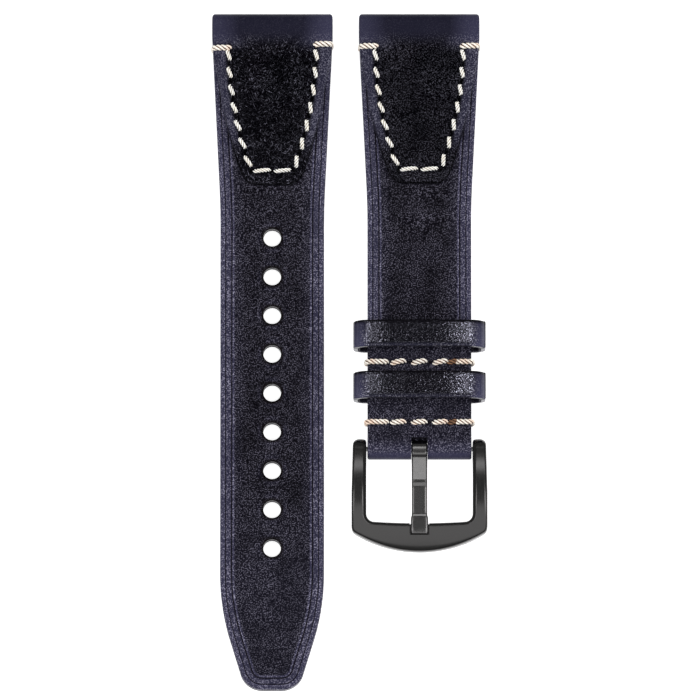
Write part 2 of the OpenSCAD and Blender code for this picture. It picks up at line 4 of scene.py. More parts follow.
import bmesh
import bpy
import numpy as np
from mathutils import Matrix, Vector

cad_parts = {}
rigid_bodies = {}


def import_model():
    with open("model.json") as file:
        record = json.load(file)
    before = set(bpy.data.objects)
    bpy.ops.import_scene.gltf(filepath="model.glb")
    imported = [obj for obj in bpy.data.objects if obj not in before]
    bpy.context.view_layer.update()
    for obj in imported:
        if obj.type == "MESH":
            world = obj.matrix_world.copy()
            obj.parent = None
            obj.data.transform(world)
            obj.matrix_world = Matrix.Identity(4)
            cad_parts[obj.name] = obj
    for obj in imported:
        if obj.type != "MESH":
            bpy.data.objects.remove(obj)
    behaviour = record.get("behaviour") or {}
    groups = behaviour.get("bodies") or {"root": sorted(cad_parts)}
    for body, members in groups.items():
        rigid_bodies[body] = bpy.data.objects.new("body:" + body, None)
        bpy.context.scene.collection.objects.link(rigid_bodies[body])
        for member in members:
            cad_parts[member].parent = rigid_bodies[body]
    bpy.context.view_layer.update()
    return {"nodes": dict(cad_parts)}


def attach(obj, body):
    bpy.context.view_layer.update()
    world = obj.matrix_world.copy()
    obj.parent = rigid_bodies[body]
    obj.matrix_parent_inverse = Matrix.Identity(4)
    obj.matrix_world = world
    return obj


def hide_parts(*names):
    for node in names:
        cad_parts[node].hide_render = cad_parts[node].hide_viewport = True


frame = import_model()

# Leather watch strap in two halves, seen almost straight down. Sizes below are in millimetres. Most
# are the same as in the model's source, but SLOT_BACK is 0.22 mm longer here, so that the tongue
# clears the leather when it and the frame are fully raised. Points stay in millimetres until a mesh
# is made of them. s is the distance from the nose (lug end) of a strap, l the running length along
# a sheet, d the inset from its outline, and w is 0 on its outer face and 1 on its inner face.
MM = 0.001

NOSE_Y, LONG_X, SHORT_X = 60.1, -13.375, 12.425
LUG_W, BODY_W, LONG_LEN = 21.2, 18.2, 120.2
TAPER_TO, TAPER_SOFT, THROAT = 38.0, 6.992, 4.4
TAPER_SLOPE = (LUG_W - BODY_W) / 2 / (TAPER_TO - THROAT - TAPER_SOFT / 2)
LONG_T, SHORT_T, PAD_T, LUG_T, LINING_T, LEATHER_T = 2.15, 2.4, 3.4, 3.1, 1.0, 1.15
PAD_PEAK, PAD_TO, LINING_FROM = 14.0, 44.0, 12.3
WRAP_T, WRAP_END_T, WRAP_LEN, FLAP_LEN, RING_R, LUG_BORE_R = 1.1, 0.6, 30.8, 12.15, 2.1, 1.0
STITCH_FIRST, STITCH_LAST, PATCH_MARGIN, PATCH_BLEND, PATCH_END_R = 6.1, 28.2, 1.95, 8.0, 3.2
HOLE_R, HOLE_PITCH, HOLE_FIRST, HOLES = 1.55, 6.9, 39.95, 9
TIP_R, TIP_TURN, TIP_FROM, TIP_CORNER_R, TIP_CORNER_X = 40.0, math.radians(17), 20.6, 4.0, 1.67
LIFT, LIFT_FROM, LIFT_OVER = 1.5, 7.9, 22.0
JOIN_S, JOIN_LEN, STACK_MID, STACK_LINING, FLAP_S, FLAP_Z = 59.6, 4.0, 2.2, 0.8, 61.0, 1.2
BAR_S, BAR_Z, FOLD_R, FOLD_BORE, FOLD_BLEND, LINING_END = 77.7, 2.7, 1.85, 0.85, 4.0, 75.3
BAR_Y = NOSE_Y - BAR_S
SLOT_HALF, SLOT_BACK, SLOT_LOW_BACK = 1.43, 1.84, 1.35
KEEPER_W, KEEPER_LEN, KEEPER_T, KEEPER_LINING_T, KEEPER_R, KEEPER_RISE = 23.2, 4.75, 0.85, 0.35, 2.2, 0.75
FREE_S, FREE_H, FIXED_S, FIXED_TOP = 55.4, 7.4, 64.6, 8.0
FIXED_BOTTOM = STACK_MID - KEEPER_T - KEEPER_LINING_T
ROWS, ROW_PITCH = (62.4, 73.1), 3.7
# Two creases are pressed round the edges; on the short half they stop under the free keeper. The
# margin is the inset of the innermost ring of points.
CREASE_FROM, CREASE_TO, OUTER_CREASE, INNER_CREASE, MARGIN = 9.15, 58.2, 0.925, 2.03, 2.6
# Half name, middle across the view, thickness of its body, and 1 if it rises from the table.
HALVES = (("long", LONG_X, LONG_T, 0), ("short", SHORT_X, SHORT_T, 1))


# ---- Shared curves of the strap ----

def ease(t):
    return (1 - np.cos(np.pi * np.clip(t, 0, 1))) / 2


def bump(d, width):
    return np.exp(-(d / width) ** 2)


def highest(*values):
    return np.maximum.reduce(values)


def strap_half(s):
    """Half the width of a strap."""
    straight = LUG_W / 2 - TAPER_SLOPE * (np.clip(s, THROAT, None) - THROAT)
    soft = BODY_W / 2 + TAPER_SLOPE * np.clip(TAPER_TO - s, 0, None) ** 2 / (2 * TAPER_SOFT)
    return np.where(s <= TAPER_TO - TAPER_SOFT, straight, soft)


def thick(s, body_t):
    lug = LUG_T + (PAD_T - LUG_T) * ease((s - THROAT) / (PAD_PEAK - THROAT))
    pad = PAD_T + (body_t - PAD_T) * ease((s - PAD_PEAK) / (PAD_TO - PAD_PEAK))
    return np.where(s <= PAD_PEAK, lug, pad)


def long_top(s):
    return thick(s, LONG_T)


def tongue_leather(s):
    """Thickness of a wrap's tongue, which is skived towards its end."""
    return WRAP_T + (WRAP_END_T - WRAP_T) * ease((s - PAD_PEAK) / (WRAP_LEN - PAD_PEAK))


def lift(s, raised):
    return raised * LIFT * ease((s - LIFT_FROM) / LIFT_OVER)


def joined(s):
    return ease((s - JOIN_S) / JOIN_LEN)


def short_floor(s):
    return lift(s, 1) + (STACK_MID - LIFT) * joined(s)


def short_mid(s):
    return short_floor(s) + LINING_T + (STACK_LINING - LINING_T) * joined(s)


def short_top(s):
    body = short_floor(s) + thick(s, SHORT_T)
    stack_top = STACK_MID + STACK_LINING + LEATHER_T
    fold = (LIFT + SHORT_T + (stack_top - LIFT - SHORT_T) * joined(s)
            + (BAR_Z + FOLD_R - stack_top) * ease((s - BAR_S + FOLD_BLEND) / FOLD_BLEND))
    return np.where(s <= JOIN_S, body, fold)


def fold_floor(s):
    """Height of the underside of the fold, with the belly that holds the fixed keeper."""
    flat = FLAP_Z + (BAR_Z - FOLD_R - FLAP_Z) * ease((s - BAR_S + FOLD_BLEND) / FOLD_BLEND)
    belly = ease((s - FIXED_S + 1.1) / 1.0) * (1 - ease((s - FIXED_S - KEEPER_LEN - 0.1) / 1.0))
    return flat * (1 - belly)


def stitch_half(s):
    """Half the width of the U of stitches."""
    return 7.75 - 0.0083 * (s - STITCH_FIRST) ** 2


def patch_half(s):
    """Half the width of a wrap's tongue."""
    side = stitch_half(s) + PATCH_MARGIN
    return side + (strap_half(s) - side) * (1 - ease((s - STITCH_FIRST) / PATCH_BLEND))


def steps(start, end, n):
    """n even steps from start, without the end itself."""
    return np.linspace(start, end, n + 1)[:-1]


def arc(x, y, r, angles, stretch=1.0):
    return np.column_stack([x + r * np.cos(angles), y + stretch * r * np.sin(angles)])


def bent(start, corner, end, n):
    """n points of the curve from start to end that is drawn towards a corner between them."""
    t = np.linspace(0, 1, n)[:, None]
    return start * (1 - t) ** 2 + 2 * corner * t * (1 - t) + end * t * t


def normals_of(line):
    """Unit vectors to the left of a line of points."""
    tangent = np.gradient(line, axis=0)
    tangent /= np.maximum(np.linalg.norm(tangent, axis=1, keepdims=True), 1e-9)
    return np.column_stack([-tangent[:, 1], tangent[:, 0]])


# ---- Paths: the side view of a sheet, as an outer and an inner line with a running length ----

def path(along, outer, inner):
    outer, inner = np.array(outer, float), np.array(inner, float)
    return {"l": np.array(along, float), "outer": outer, "inner": inner, "normal": normals_of(outer)}


def flat_path(s, top, low):
    return path(s, np.column_stack([s, top]), np.column_stack([s, low]))


def place(way, centre_x, x, l, w, h):
    """Points of a sheet; h stands off its outer face."""
    def along(line, i):
        return np.interp(l, way["l"], way[line][:, i])
    s, z = (along("outer", i) * (1 - w) + along("inner", i) * w + along("normal", i) * h for i in (0, 1))
    return np.column_stack([x + centre_x, NOSE_Y - s, z])


def half_bore(from_middle, r):
    """Half the height of a round bore; it never closes, so that a sheet keeps two faces."""
    return max(math.sqrt(max(r ** 2 - from_middle ** 2, 0)), 0.01)


def round_bar(start_l, s, z, outer_r, inner_r, side, n):
    """Rows of a sheet that goes half round a bar, from its top if side is 1, or from below if -1."""
    middle = np.array([s, z])
    for a in np.linspace(0, math.pi, n)[1:-1]:
        way = side * np.array([math.sin(a), math.cos(a)])
        yield start_l + a * outer_r, middle + outer_r * way, middle + inner_r * way


# ---- Objects ----

def new_object(name, data):
    obj = bpy.data.objects.new(name, data)
    bpy.context.scene.collection.objects.link(obj)
    return obj


def applied(obj):
    """A new mesh of an object with its modifiers worked in."""
    bpy.context.view_layer.update()
    return bpy.data.meshes.new_from_object(obj.evaluated_get(bpy.context.evaluated_depsgraph_get()))


def mesh_object(name, points, faces, material, **looks):
    """A closed object with smooth faces; looks are the values that its material reads at each point."""
    mesh = bpy.data.meshes.new(name)
    mesh.from_pydata((np.array(points, float) * MM).tolist(), [], [[int(i) for i in f] for f in faces])
    mesh.materials.append(material)
    work = bmesh.new()
    work.from_mesh(mesh)
    bmesh.ops.recalc_face_normals(work, faces=work.faces)
    work.to_mesh(mesh)
    work.free()
    mesh.validate()
    mesh.shade_smooth()
    mesh.set_sharp_from_angle(angle=math.radians(50))
    for look, values in looks.items():
        mesh.attributes.new(look, "FLOAT", "POINT").data.foreach_set("value", np.asarray(values, np.float32))
    return new_object(name, mesh)


def skin(rings, wide, closed=False):
    """Faces between rings that have the same number of points."""
    return [(i * wide + j, i * wide + (j + 1) % wide,
             (i + 1) % rings * wide + (j + 1) % wide, (i + 1) % rings * wide + j)
            for i in range(rings if closed else rings - 1) for j in range(wide)]


def finish(obj, body, slot_name, *nodes):
    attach(obj, body)
    if nodes:
        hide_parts(*nodes)
    return obj


# ---- A cut sheet of leather ----

# Inset from the cut edge, or radius round a hole, and how far the surface has dropped there.
CUT_EDGE = [(0, 0.3), (0.03, 0.16), (0.1, 0.06), (0.2, 0.02), (0.32, 0)]
BACK_EDGE = [(0, 0.08), (0.03, 0.02), (0.1, 0)]
CREASED_EDGE = CUT_EDGE + [(d, 0) for d in (0.55, 0.72, 0.82, 0.88, 0.925, 0.97, 1.03, 1.15, 1.4, 1.65, 1.82,
                                            1.92, 1.98, 2.03, 2.08, 2.14, 2.24, 2.4, MARGIN)]
WIDE_BACK_EDGE = BACK_EDGE + [(1.2, 0), (MARGIN, 0)]
HOLE_EDGE = ((1.9, 0), (1.75, 0.015), (1.64, 0.06), (1.58, 0.14), (HOLE_R, 0.28))
WELL_INSIDE = 5


def level(x, *_):
    return 0 * x


def crease_bloom(x, l, d, w):
    """Burnished edge with painted sheen: pale outside the creases, and palest at painted highlights on the
    shoulder inside the inner one and beside the outer one.
    """
    margin = 0.45 * ease((2.6 - d) / 0.7) + 0.06 * ease((d - 2.3) / 0.3) * ease((4.6 - d) / 1.8)
    pale = margin - 0.1 * bump(d - 1.5, 0.25) + 0.9 * bump(d - 2.26, 0.13) + 0.5 * bump(d - 0.78, 0.07)
    return np.clip(pale, 0, 1) * (d < 4.9)


def sheet_of_leather(name, material, way, centre_x, side, columns, top_edge, low_edge,
                     detail=(level, level), holes=(), slot=None, **looks):
    """Closed mesh: rings inset from the outline on both faces, and a grid inside the last ring.
    side(d) gives the right-hand outline at inset d, columns run from 1 at the right to -1, and
    detail is how far each face stands up. A hole is its distance from the nose and its block of
    cells, as rows and columns; the slot is such a block alone."""
    wide = len(columns)
    outline = side(0)
    rows = len(outline)
    points, faces, loops = [], [], []

    def put(x, l, d, w, drop):
        first = sum(map(len, points))
        d = d + 0 * x
        points.append(np.column_stack([x, l, d, w + 0 * x, detail[w](x, l, d) + (drop if w else -drop)]))
        return np.arange(first, first + len(x))

    def join(a, b):
        faces.extend(zip(a, np.roll(a, -1), np.roll(b, -1), b))

    def ring(d):
        (x, l), inner = side(d).T, columns[1:-1]
        return (np.concatenate([x, x[-1] * inner, -x[::-1], x[0] * inner[::-1]]),
                np.concatenate([l, l[-1] + 0 * inner, l[::-1], l[0] + 0 * inner]))

    for w, edge in ((0, top_edge), (1, low_edge)):
        rings = [put(*ring(d), d, w, drop) for d, drop in edge[:-1]]
        loops.append(rings[0])
        for previous, loop in zip(rings, rings[1:]):
            join(previous, loop)
        last_d, last_drop = edge[-1]
        side_x, side_l = side(last_d).T
        x = side_x[:, None] * columns
        l = np.repeat(side_l[:, None], wide, axis=1)
        half = np.interp(l, outline[:, 1], outline[:, 0])
        d = np.maximum(last_d, np.minimum(half - np.abs(x), outline[-1, 1] - l))
        grid = put(x.ravel(), l.ravel(), d.ravel(), w, last_drop).reshape(rows, wide)
        join(rings[-1], np.concatenate([grid[:, 0], grid[-1, 1:-1], grid[::-1, -1], grid[0, 1:-1][::-1]]))
        skip = np.zeros((rows - 1, wide - 1), bool)
        rims = []
        for i0, i1, j0, j1 in [hole[1:] for hole in holes] + ([slot] if slot else []):
            skip[i0:i1, j0:j1] = True
            rims.append(np.concatenate([grid[i0, j0:j1], grid[i0:i1, j1],
                                        grid[i1, j1:j0:-1], grid[i1:i0:-1, j0]]))
        for i, j in zip(*np.nonzero(~skip)):
            faces.append((grid[i, j], grid[i + 1, j], grid[i + 1, j + 1], grid[i, j + 1]))
        placed = np.concatenate(points)
        for hole, rim in zip(holes, rims):
            angle = np.arctan2(placed[rim, 1] - hole[0], placed[rim, 0])
            for r, drop in HOLE_EDGE:
                loop = put(r * np.cos(angle), hole[0] + r * np.sin(angle), WELL_INSIDE, w, drop)
                join(rim, loop)
                rim = loop
            loops.append(rim)
        loops.extend(rims[len(holes):])
    half_way = len(loops) // 2
    for a, b in zip(loops[:half_way], loops[half_way:]):
        join(a, b)
    x, l, d, w, h = np.concatenate(points).T
    looks = {"bloom": crease_bloom, "stain": level, "calm": level, **looks}
    values = {look: value(x, l, d, w) for look, value in looks.items()}
    return mesh_object(name, place(way, centre_x, x, l, w, h), faces, material, **values)


def squeezed(x, l, d, reach=12.0):
    """An outline whose first row moves inwards by d, with the move shared over the rows near it."""
    return np.column_stack([x, l + d * np.clip(1 - (l - l[0]) / reach, 0, None)])


def square_side(rows, d):
    """Outline of a sheet that follows the strap and has both its ends cut square."""
    return squeezed(strap_half(rows) - d, rows - d * np.clip(1 - (rows[-1] - rows) / 6, 0, None), d)


def middle_block(block_half, last_d, outside, inside):
    """Columns across the body, with a block of cells in the middle for holes."""
    share = block_half / (BODY_W / 2 - last_d)
    right = steps(1, share, outside)
    return np.concatenate([right, np.linspace(share, -share, inside + 1), -right[::-1]])


def fine_columns(n):
    return np.linspace(1, -1, n + 1)


# Each buckle hole has a square block of cells, with two rows between one block and the next.
HOLE_BLOCK, BLOCK_CELLS, BETWEEN, ROWS_BEFORE = 2.15, 8, 2, 41
hole_s = [HOLE_FIRST + HOLE_PITCH * i for i in range(HOLES)]
hole_rows = np.concatenate([
    np.append(centre + np.linspace(-HOLE_BLOCK, HOLE_BLOCK, BLOCK_CELLS + 1),
              centre + HOLE_BLOCK + (HOLE_PITCH - 2 * HOLE_BLOCK) * np.arange(1, BETWEEN + 1) / (BETWEEN + 1))
    for centre in hole_s])[:-BETWEEN]
hole_blocks = []
for i, s in enumerate(hole_s):
    row = ROWS_BEFORE + (BLOCK_CELLS + 1 + BETWEEN) * i
    hole_blocks.append((s, row, row + BLOCK_CELLS, BLOCK_CELLS, 2 * BLOCK_CELLS))


def long_side(start):
    """Right-hand outline of the long half from a distance s on, with its tip."""
    rows = np.concatenate([steps(start, hole_rows[0], ROWS_BEFORE), hole_rows,
                           np.linspace(hole_rows[-1], LONG_LEN - TIP_FROM, 4)[1:-1]])

    def side(d):
        tip = arc(BODY_W / 2 - TIP_R, LONG_LEN - TIP_FROM, TIP_R - d, np.linspace(0, TIP_TURN, 17))
        corner = arc(TIP_CORNER_X, LONG_LEN - TIP_CORNER_R, TIP_CORNER_R - d,
                     np.linspace(TIP_TURN, math.pi / 2, 13)[1:])
        return np.vstack([squeezed(strap_half(rows) - d, rows, d), tip, corner])
    return side


# ---- Materials ----

def linear(colour):
    """An sRGB hex colour as the linear colour that a shader takes."""
    channels = [int(colour[i:i + 2], 16) / 255 for i in (1, 3, 5)]
    return tuple(c / 12.92 if c <= 0.04045 else ((c + 0.055) / 1.055) ** 2.4 for c in channels) + (1.0,)


def set_inputs(tree, node, inputs):
    """Each input is a value, or an output socket to link from."""
    for key, value in inputs.items():
        if isinstance(value, bpy.types.NodeSocket):
            tree.links.new(value, node.inputs[key])
        else:
            node.inputs[key].default_value = value


def add_node(tree, kind, inputs=None, **settings):
    made = tree.nodes.new(kind)
    for key, value in settings.items():
        setattr(made, key, value)
    set_inputs(tree, made, inputs or {})
    return made


def maths(tree, operation, *values):
    return add_node(tree, "ShaderNodeMath", dict(enumerate(values)), operation=operation).outputs[0]


def product(tree, *values):
    result = values[0]
    for value in values[1:]:
        result = maths(tree, "MULTIPLY", result, value)
    return result


def mixed(tree, factor, a, b):
    return add_node(tree, "ShaderNodeMix", {0: factor, 6: a, 7: b}, data_type="RGBA").outputs[2]


def ramped(tree, value, *limits):
    """Takes value from one range to another: from low to high, and 0 to 1 if no more is said."""
    return add_node(tree, "ShaderNodeMapRange", dict(enumerate((value,) + limits))).outputs[0]


def noise(tree, at, scale, detail, roughness=0.5):
    return add_node(tree, "ShaderNodeTexNoise", {"Vector": at, "Scale": scale, "Detail": detail,
                                                 "Roughness": roughness}).outputs["Fac"]


def cells(tree, at, size_mm, feature):
    inputs = {"Vector": at, "Scale": 1000 / size_mm}
    return add_node(tree, "ShaderNodeTexVoronoi", inputs, feature=feature).outputs


def stretched(tree, at, **inputs):
    """The place to look a pattern up at, so that the pattern comes out stretched or turned."""
    kind = "TEXTURE" if "Rotation" in inputs else "POINT"
    return add_node(tree, "ShaderNodeMapping", {"Vector": at, **inputs}, vector_type=kind).outputs[0]


def named(tree, attribute):
    return add_node(tree, "ShaderNodeAttribute", attribute_name=attribute).outputs["Fac"]


def bumped(tree, height, strength, depth_mm, normal=None):
    inputs = {"Height": height, "Strength": strength, "Distance": depth_mm * MM}
    if normal:
        inputs["Normal"] = normal
    return add_node(tree, "ShaderNodeBump", inputs).outputs[0]


def new_material(name):
    """A material, its tree and shader, and the place on the piece that its patterns hang on."""
    material = bpy.data.materials.new(name)
    material.use_nodes = True
    tree = material.node_tree
    tree.nodes.clear()
    shader = add_node(tree, "ShaderNodeBsdfPrincipled")
    add_node(tree, "ShaderNodeOutputMaterial", {"Surface": shader.outputs[0]})
    return material, tree, shader, add_node(tree, "ShaderNodeTexCoord").outputs["Object"]


def leather(name, deep, dyed, painted_glint, stain, roughness, shine, sparse, grain, hair, crackle=0.1,
            burnish_and_sheen_tint="#4c4b66"):
    """Waxed vegetable-tanned calf: dyed through, with a fine pebble grain whose polished tops shine and
    carry pale flecks as painted glints, pale along the cut edges where it was burnished and where sheen
    and highlights are painted, pale hairlines as painted glints along fine ridges, and dark wax and
    painted shade round the stitch holes and in the creases and grooves. It is smooth where it was
    stretched round a bar. sparse is the height from which tops glint, and grain, hair and crackle are
    how strong those three are."""
    material, tree, shader, at = new_material(name)
    # waxed reads the dark marks: real wax, stains and dark cut edges, and painted shade in creases, grooves,
    # awl holes and along the keepers' edge.
    bloom, waxed, calm = (named(tree, attribute) for attribute in ("bloom", "stain", "calm"))
    lively = ramped(tree, calm, 0.0, 1.0, 1.0, 0.1)
    # Clouds of dye about 5 mm across.
    cloud = noise(tree, at, 1000 / 5, 4.0, 0.6)
    patchy = ramped(tree, cloud, 0.36, 0.6, 0.45, 1.0)
    # Grain with tops about 0.2 mm across that glint in patches, and a few pebbles that glint brighter; the
    # glints are painted into the colour as pale flecks.
    fine = noise(tree, at, 1000 / 0.2, 0.0)
    pebble = cells(tree, at, 0.36, "F1")
    chance = add_node(tree, "ShaderNodeSeparateColor", {"Color": pebble["Color"]}).outputs[0]
    polish = product(tree, ramped(tree, chance, 0.6, 1.0), patchy)
    bright = product(tree, ramped(tree, pebble["Distance"], 0.42, 0.12), polish)
    worn = product(tree, ramped(tree, fine, sparse, 0.74), patchy)
    top = maths(tree, "MAXIMUM", bright, worn)
    # Hairlines 0.9 mm long and 0.09 mm wide, in four directions: painted glints along fine ridges.
    hairline_glints = 0.0
    for angle in (22, 66, 113, 158):
        turn, size = (0, 0, math.radians(angle)), (0.9 * MM, 0.09 * MM, 0.9 * MM)
        hairs = noise(tree, stretched(tree, at, Rotation=turn, Scale=size), 1.0, 0.0)
        line = ramped(tree, hairs, 0.75, 0.84)
        hairline_glints = maths(tree, "MAXIMUM", hairline_glints, line)
    # Crackle: the edges of 0.8 mm cells.
    furrow = ramped(tree, cells(tree, at, 0.8, "DISTANCE_TO_EDGE")["Distance"], 0.0, 0.16)

    base = mixed(tree, ramped(tree, cloud, 0.35, 0.65), linear(deep), linear(dyed))
    # Paler towards the cut edges: partly burnish and partly painted sheen and highlight.
    edged = mixed(tree, ramped(tree, bloom, 0.0, 0.62, 0.0, 0.62), base, linear(burnish_and_sheen_tint))
    shown = product(tree, lively, ramped(tree, bloom, 0.0, 1.0, grain, 1.0))
    # Pale flecks: painted glints on the grain tops, denser where the edges have painted sheen.
    with_painted_glints = mixed(tree, product(tree, top, shown), edged, linear(painted_glint))
    # Pale hairlines: painted glints along fine ridges.
    hairline_glints_shown = product(tree, product(tree, hairline_glints, patchy), product(tree, lively, hair))
    lined = mixed(tree, hairline_glints_shown, with_painted_glints, linear(painted_glint))
    pored = bumped(tree, fine, lively, 0.02)
    # The base colour goes dark for real stains and wax, and for painted shade.
    set_inputs(tree, shader, {
        "Base Color": mixed(tree, waxed, lined, linear(stain)), "Roughness": roughness, "IOR": 1.5,
        # The tops shine and the pores between them do not.
        "Specular IOR Level": ramped(tree, product(tree, top, lively), 0.0, 0.6, shine * 0.3, shine * 2.0),
        "Specular Tint": linear("#dddcf2"),
        "Normal": bumped(tree, furrow, product(tree, lively, crackle), 0.02, pored)})
    return material


strap_leather = leather(
    "waxed_navy_calf", deep="#060509", dyed="#0c0a12", painted_glint="#b7b3cc", stain="#0b0706",
    roughness=0.3, shine=0.22, sparse=0.53, grain=0.24, hair=0.03)
wrap_leather = leather(
    "oiled_black_calf", deep="#010103", dyed="#030205", painted_glint="#b9b7cd", stain="#010101",
    roughness=0.28, shine=0.08, sparse=0.5, grain=0.04, hair=0.65)
grainy_wrap = leather(
    "oiled_black_calf_grainy", deep="#010103", dyed="#040306", painted_glint="#b9b7cd", stain="#010101",
    roughness=0.28, shine=0.08, sparse=0.53, grain=0.17, hair=0.12)
keeper_leather = leather(
    "waxed_navy_calf_band", deep="#030306", dyed="#07060b", painted_glint="#cfcddb", stain="#050407",
    roughness=0.16, shine=0.46, sparse=0.555, grain=0.06, hair=0.0, crackle=0.35)
lining_leather = leather(
    "matt_calf_lining", deep="#1d1b25", dyed="#272531", painted_glint="#3a3843", stain="#0c0a0d",
    roughness=0.62, shine=0.4, sparse=0.5, grain=0.3, hair=0.1, burnish_and_sheen_tint="#2b2936")


def thread_material(name, pale, waxed, furrow):
    """Waxed linen thread: the plies catch the light, and the furrows between them are darkened as painted
    shade.
    """
    material, tree, shader, at = new_material(name)
    # Fibres about 0.17 mm across, and patches of wax about 2.4 mm across.
    fibre, wax = noise(tree, at, 6000, 2.0), noise(tree, at, 420, 3.0)
    base = mixed(tree, ramped(tree, wax, 0.45, 0.7), linear(pale), linear(waxed))
    worn = mixed(tree, ramped(tree, fibre, 0.45, 0.75, 0.0, 0.3), base, linear(waxed))
    # Painted shade in the furrows between the plies.
    laid = mixed(tree, ramped(tree, named(tree, "ply_depth"), 0.2, 0.45), worn, linear(furrow))
    set_inputs(tree, shader, {"Base Color": laid, "Roughness": 0.6, "IOR": 1.53,
                              "Normal": bumped(tree, fibre, 0.5, 0.05)})
    return material


# The last colour of each thread is the painted shade in its furrows.
cream_thread = thread_material("waxed_linen_thread", "#fffefb", "#f8f2e6", "#c4baa4")
brown_thread = thread_material("waxed_linen_thread_brown", "#8f6a50", "#5c3e2c", "#2c1a12")
tan_thread = thread_material("waxed_linen_thread_tan", "#fffaf0", "#f8dcc6", "#7a4f36")


def metal(name, colour, roughness=0.175, brush=0.01):
    """Blasted and coated steel: an even satin with a faint brush across the strap."""
    material, tree, shader, at = new_material(name)
    # Brush lines about 1.1 mm long and 0.12 mm wide.
    lines = noise(tree, stretched(tree, at, Scale=(1.0, 9.0, 1.0)), 900, 3.0)
    set_inputs(tree, shader, {"Metallic": 1.0, "Base Color": linear(colour),
                              "Roughness": ramped(tree, lines, 0.3, 0.7, roughness - 0.02, roughness + 0.02),
                              "Normal": bumped(tree, lines, brush, 0.01)})
    return material


def filler_material(name):
    """Bonded leather fibre, brown and rough; it lies inside and is only seen in a cut."""
    material, tree, shader, at = new_material(name)
    colour = mixed(tree, noise(tree, at, 1500, 4.0), linear("#4a3b2e"), linear("#7a664f"))
    set_inputs(tree, shader, {"Base Color": colour, "Roughness": 0.85})
    return material


gunmetal = metal("coated_gunmetal_steel", "#626161")
# A lighter copy of the frame's coated steel for the tongue: painted light, so that it looks more brightly lit
# than the frame.
lighter_tongue_metal = metal("coated_gunmetal_steel_lighter_tongue", "#807f7f")
bar_steel = metal("stainless_steel", "#b9babd", 0.28, 0.15)
filler = filler_material("bonded_leather_filler")


# ---- Long half: outer leather and lining ----

def creased_top(end):
    """Two creases pressed round the edge, and the middle standing a little proud inside them."""
    def height(x, l, d):
        on = ease((l - CREASE_FROM) / 3) * (1 - ease((l - end) / 1.5))
        furrow = -0.13 * bump(d - OUTER_CREASE, 0.085) - 0.2 * bump(d - INNER_CREASE, 0.11)
        margin = -0.06 - 0.05 * bump(d, 0.7)
        crown = 0.05 + 0.04 * (1 - np.clip(x / (BODY_W / 2), -1, 1) ** 2)
        return on * (furrow + margin + (crown - margin) * ease((d - 2.08) / 1.3))
    return height


def crease_stain(l, d):
    """Painted shade in the creases, a little wider than they are pressed."""
    return 0.95 * np.maximum(bump(d - 0.93, 0.1), bump(d - INNER_CREASE, 0.14)) * ease((l - 9) / 2)


def pocket(top, low, reach):
    """Lifts the underside of the outer leather over the filler."""
    def height(x, l, d):
        room = np.maximum(top(l) - LEATHER_T - low(l), 0)
        inside = ease((strap_half(l) - 1.4 - np.abs(x)) / 0.3)
        return room * inside * ease((l - THROAT - 0.3) / 0.3) * (1 - ease((l - reach) / 0.5))
    return height


def from_hole(x, l):
    """Distance from the middle of the nearest buckle hole."""
    return np.min([np.hypot(x, l - at) for at in hole_s], axis=0)


# Burnish and painted highlights along the creases, a little wear towards the tip, and a paler ring round each
# hole.
def long_bloom(x, l, d, w):
    worn_tip = 0.05 * ease((l - 80) / 25) * (w == 0)
    return highest(crease_bloom(x, l, d, w), worn_tip, 0.1 * bump(from_hole(x, l) - 2.2, 0.25))


# Painted shade in the creases and on the lip round each buckle hole.
def long_stain(x, l, d, w):
    return highest(crease_stain(l, d), 0.95 * bump(from_hole(x, l) - 1.7, 0.3)) * (w == 0)


long_s = np.append(np.linspace(THROAT, 46, 120), LONG_LEN + 1)
piece = sheet_of_leather(
    "long_outer_leather", strap_leather, flat_path(long_s, long_top(long_s), LINING_T + 0 * long_s), LONG_X,
    long_side(THROAT), middle_block(HOLE_BLOCK, MARGIN, BLOCK_CELLS, BLOCK_CELLS),
    CREASED_EDGE, WIDE_BACK_EDGE,
    (creased_top(LONG_LEN + 5), pocket(long_top, lambda l: LINING_T, TAPER_TO - 2.5)),
    hole_blocks, bloom=long_bloom, stain=long_stain)
finish(piece, "long_strap", "strap_leather", "long_top_leather")


def stitch_distance(x, s):
    """Signed distance outwards from the U of stitches."""
    return np.maximum(np.abs(x) - stitch_half(s), s - STITCH_LAST)


awl_side = [(stitch_half(s), s) for s in np.linspace(STITCH_FIRST, STITCH_LAST, 8)]
awl_holes = awl_side + [(0.0, STITCH_LAST)] + [(-x, s) for x, s in reversed(awl_side)]


def awl_pits(x, s, along=0.5, across=0.27):
    """1 at each awl hole round the U, slanted as the awl was held, and 0 away from them."""
    deep = 0 * x
    for hole_x, hole_at in awl_holes:
        dx, ds = x - hole_x, s - hole_at
        if hole_x == 0:
            dx, ds = ds, dx
        deep = np.maximum(deep, bump(ds, along) * bump(dx, across))
    return deep


def back_groove(x, l, *_):
    """The groove that the thread lies in on the wrist side."""
    groove = 0.3 * bump(stitch_distance(x, l), 0.42) * (l > STITCH_FIRST - 0.4)
    corner = 0.3 * bump(l - STITCH_FIRST, 0.42) * (np.abs(x) > stitch_half(l))
    return np.maximum(groove, corner) * (l < 30)


lining_s = np.append(np.linspace(LINING_FROM, 46, 40), LONG_LEN + 1)
piece = sheet_of_leather(
    "long_lining_leather", lining_leather, flat_path(lining_s, LINING_T + 0 * lining_s, 0 * lining_s), LONG_X,
    long_side(LINING_FROM), middle_block(HOLE_BLOCK, 0.3, BLOCK_CELLS, BLOCK_CELLS), BACK_EDGE + [(0.3, 0)],
    CUT_EDGE[:-1] + [(0.3, 0)], (level, back_groove), hole_blocks)
finish(piece, "long_strap", "lining_leather", "long_lining")


# ---- Lug wraps ----

RING_LEN = math.pi * RING_R
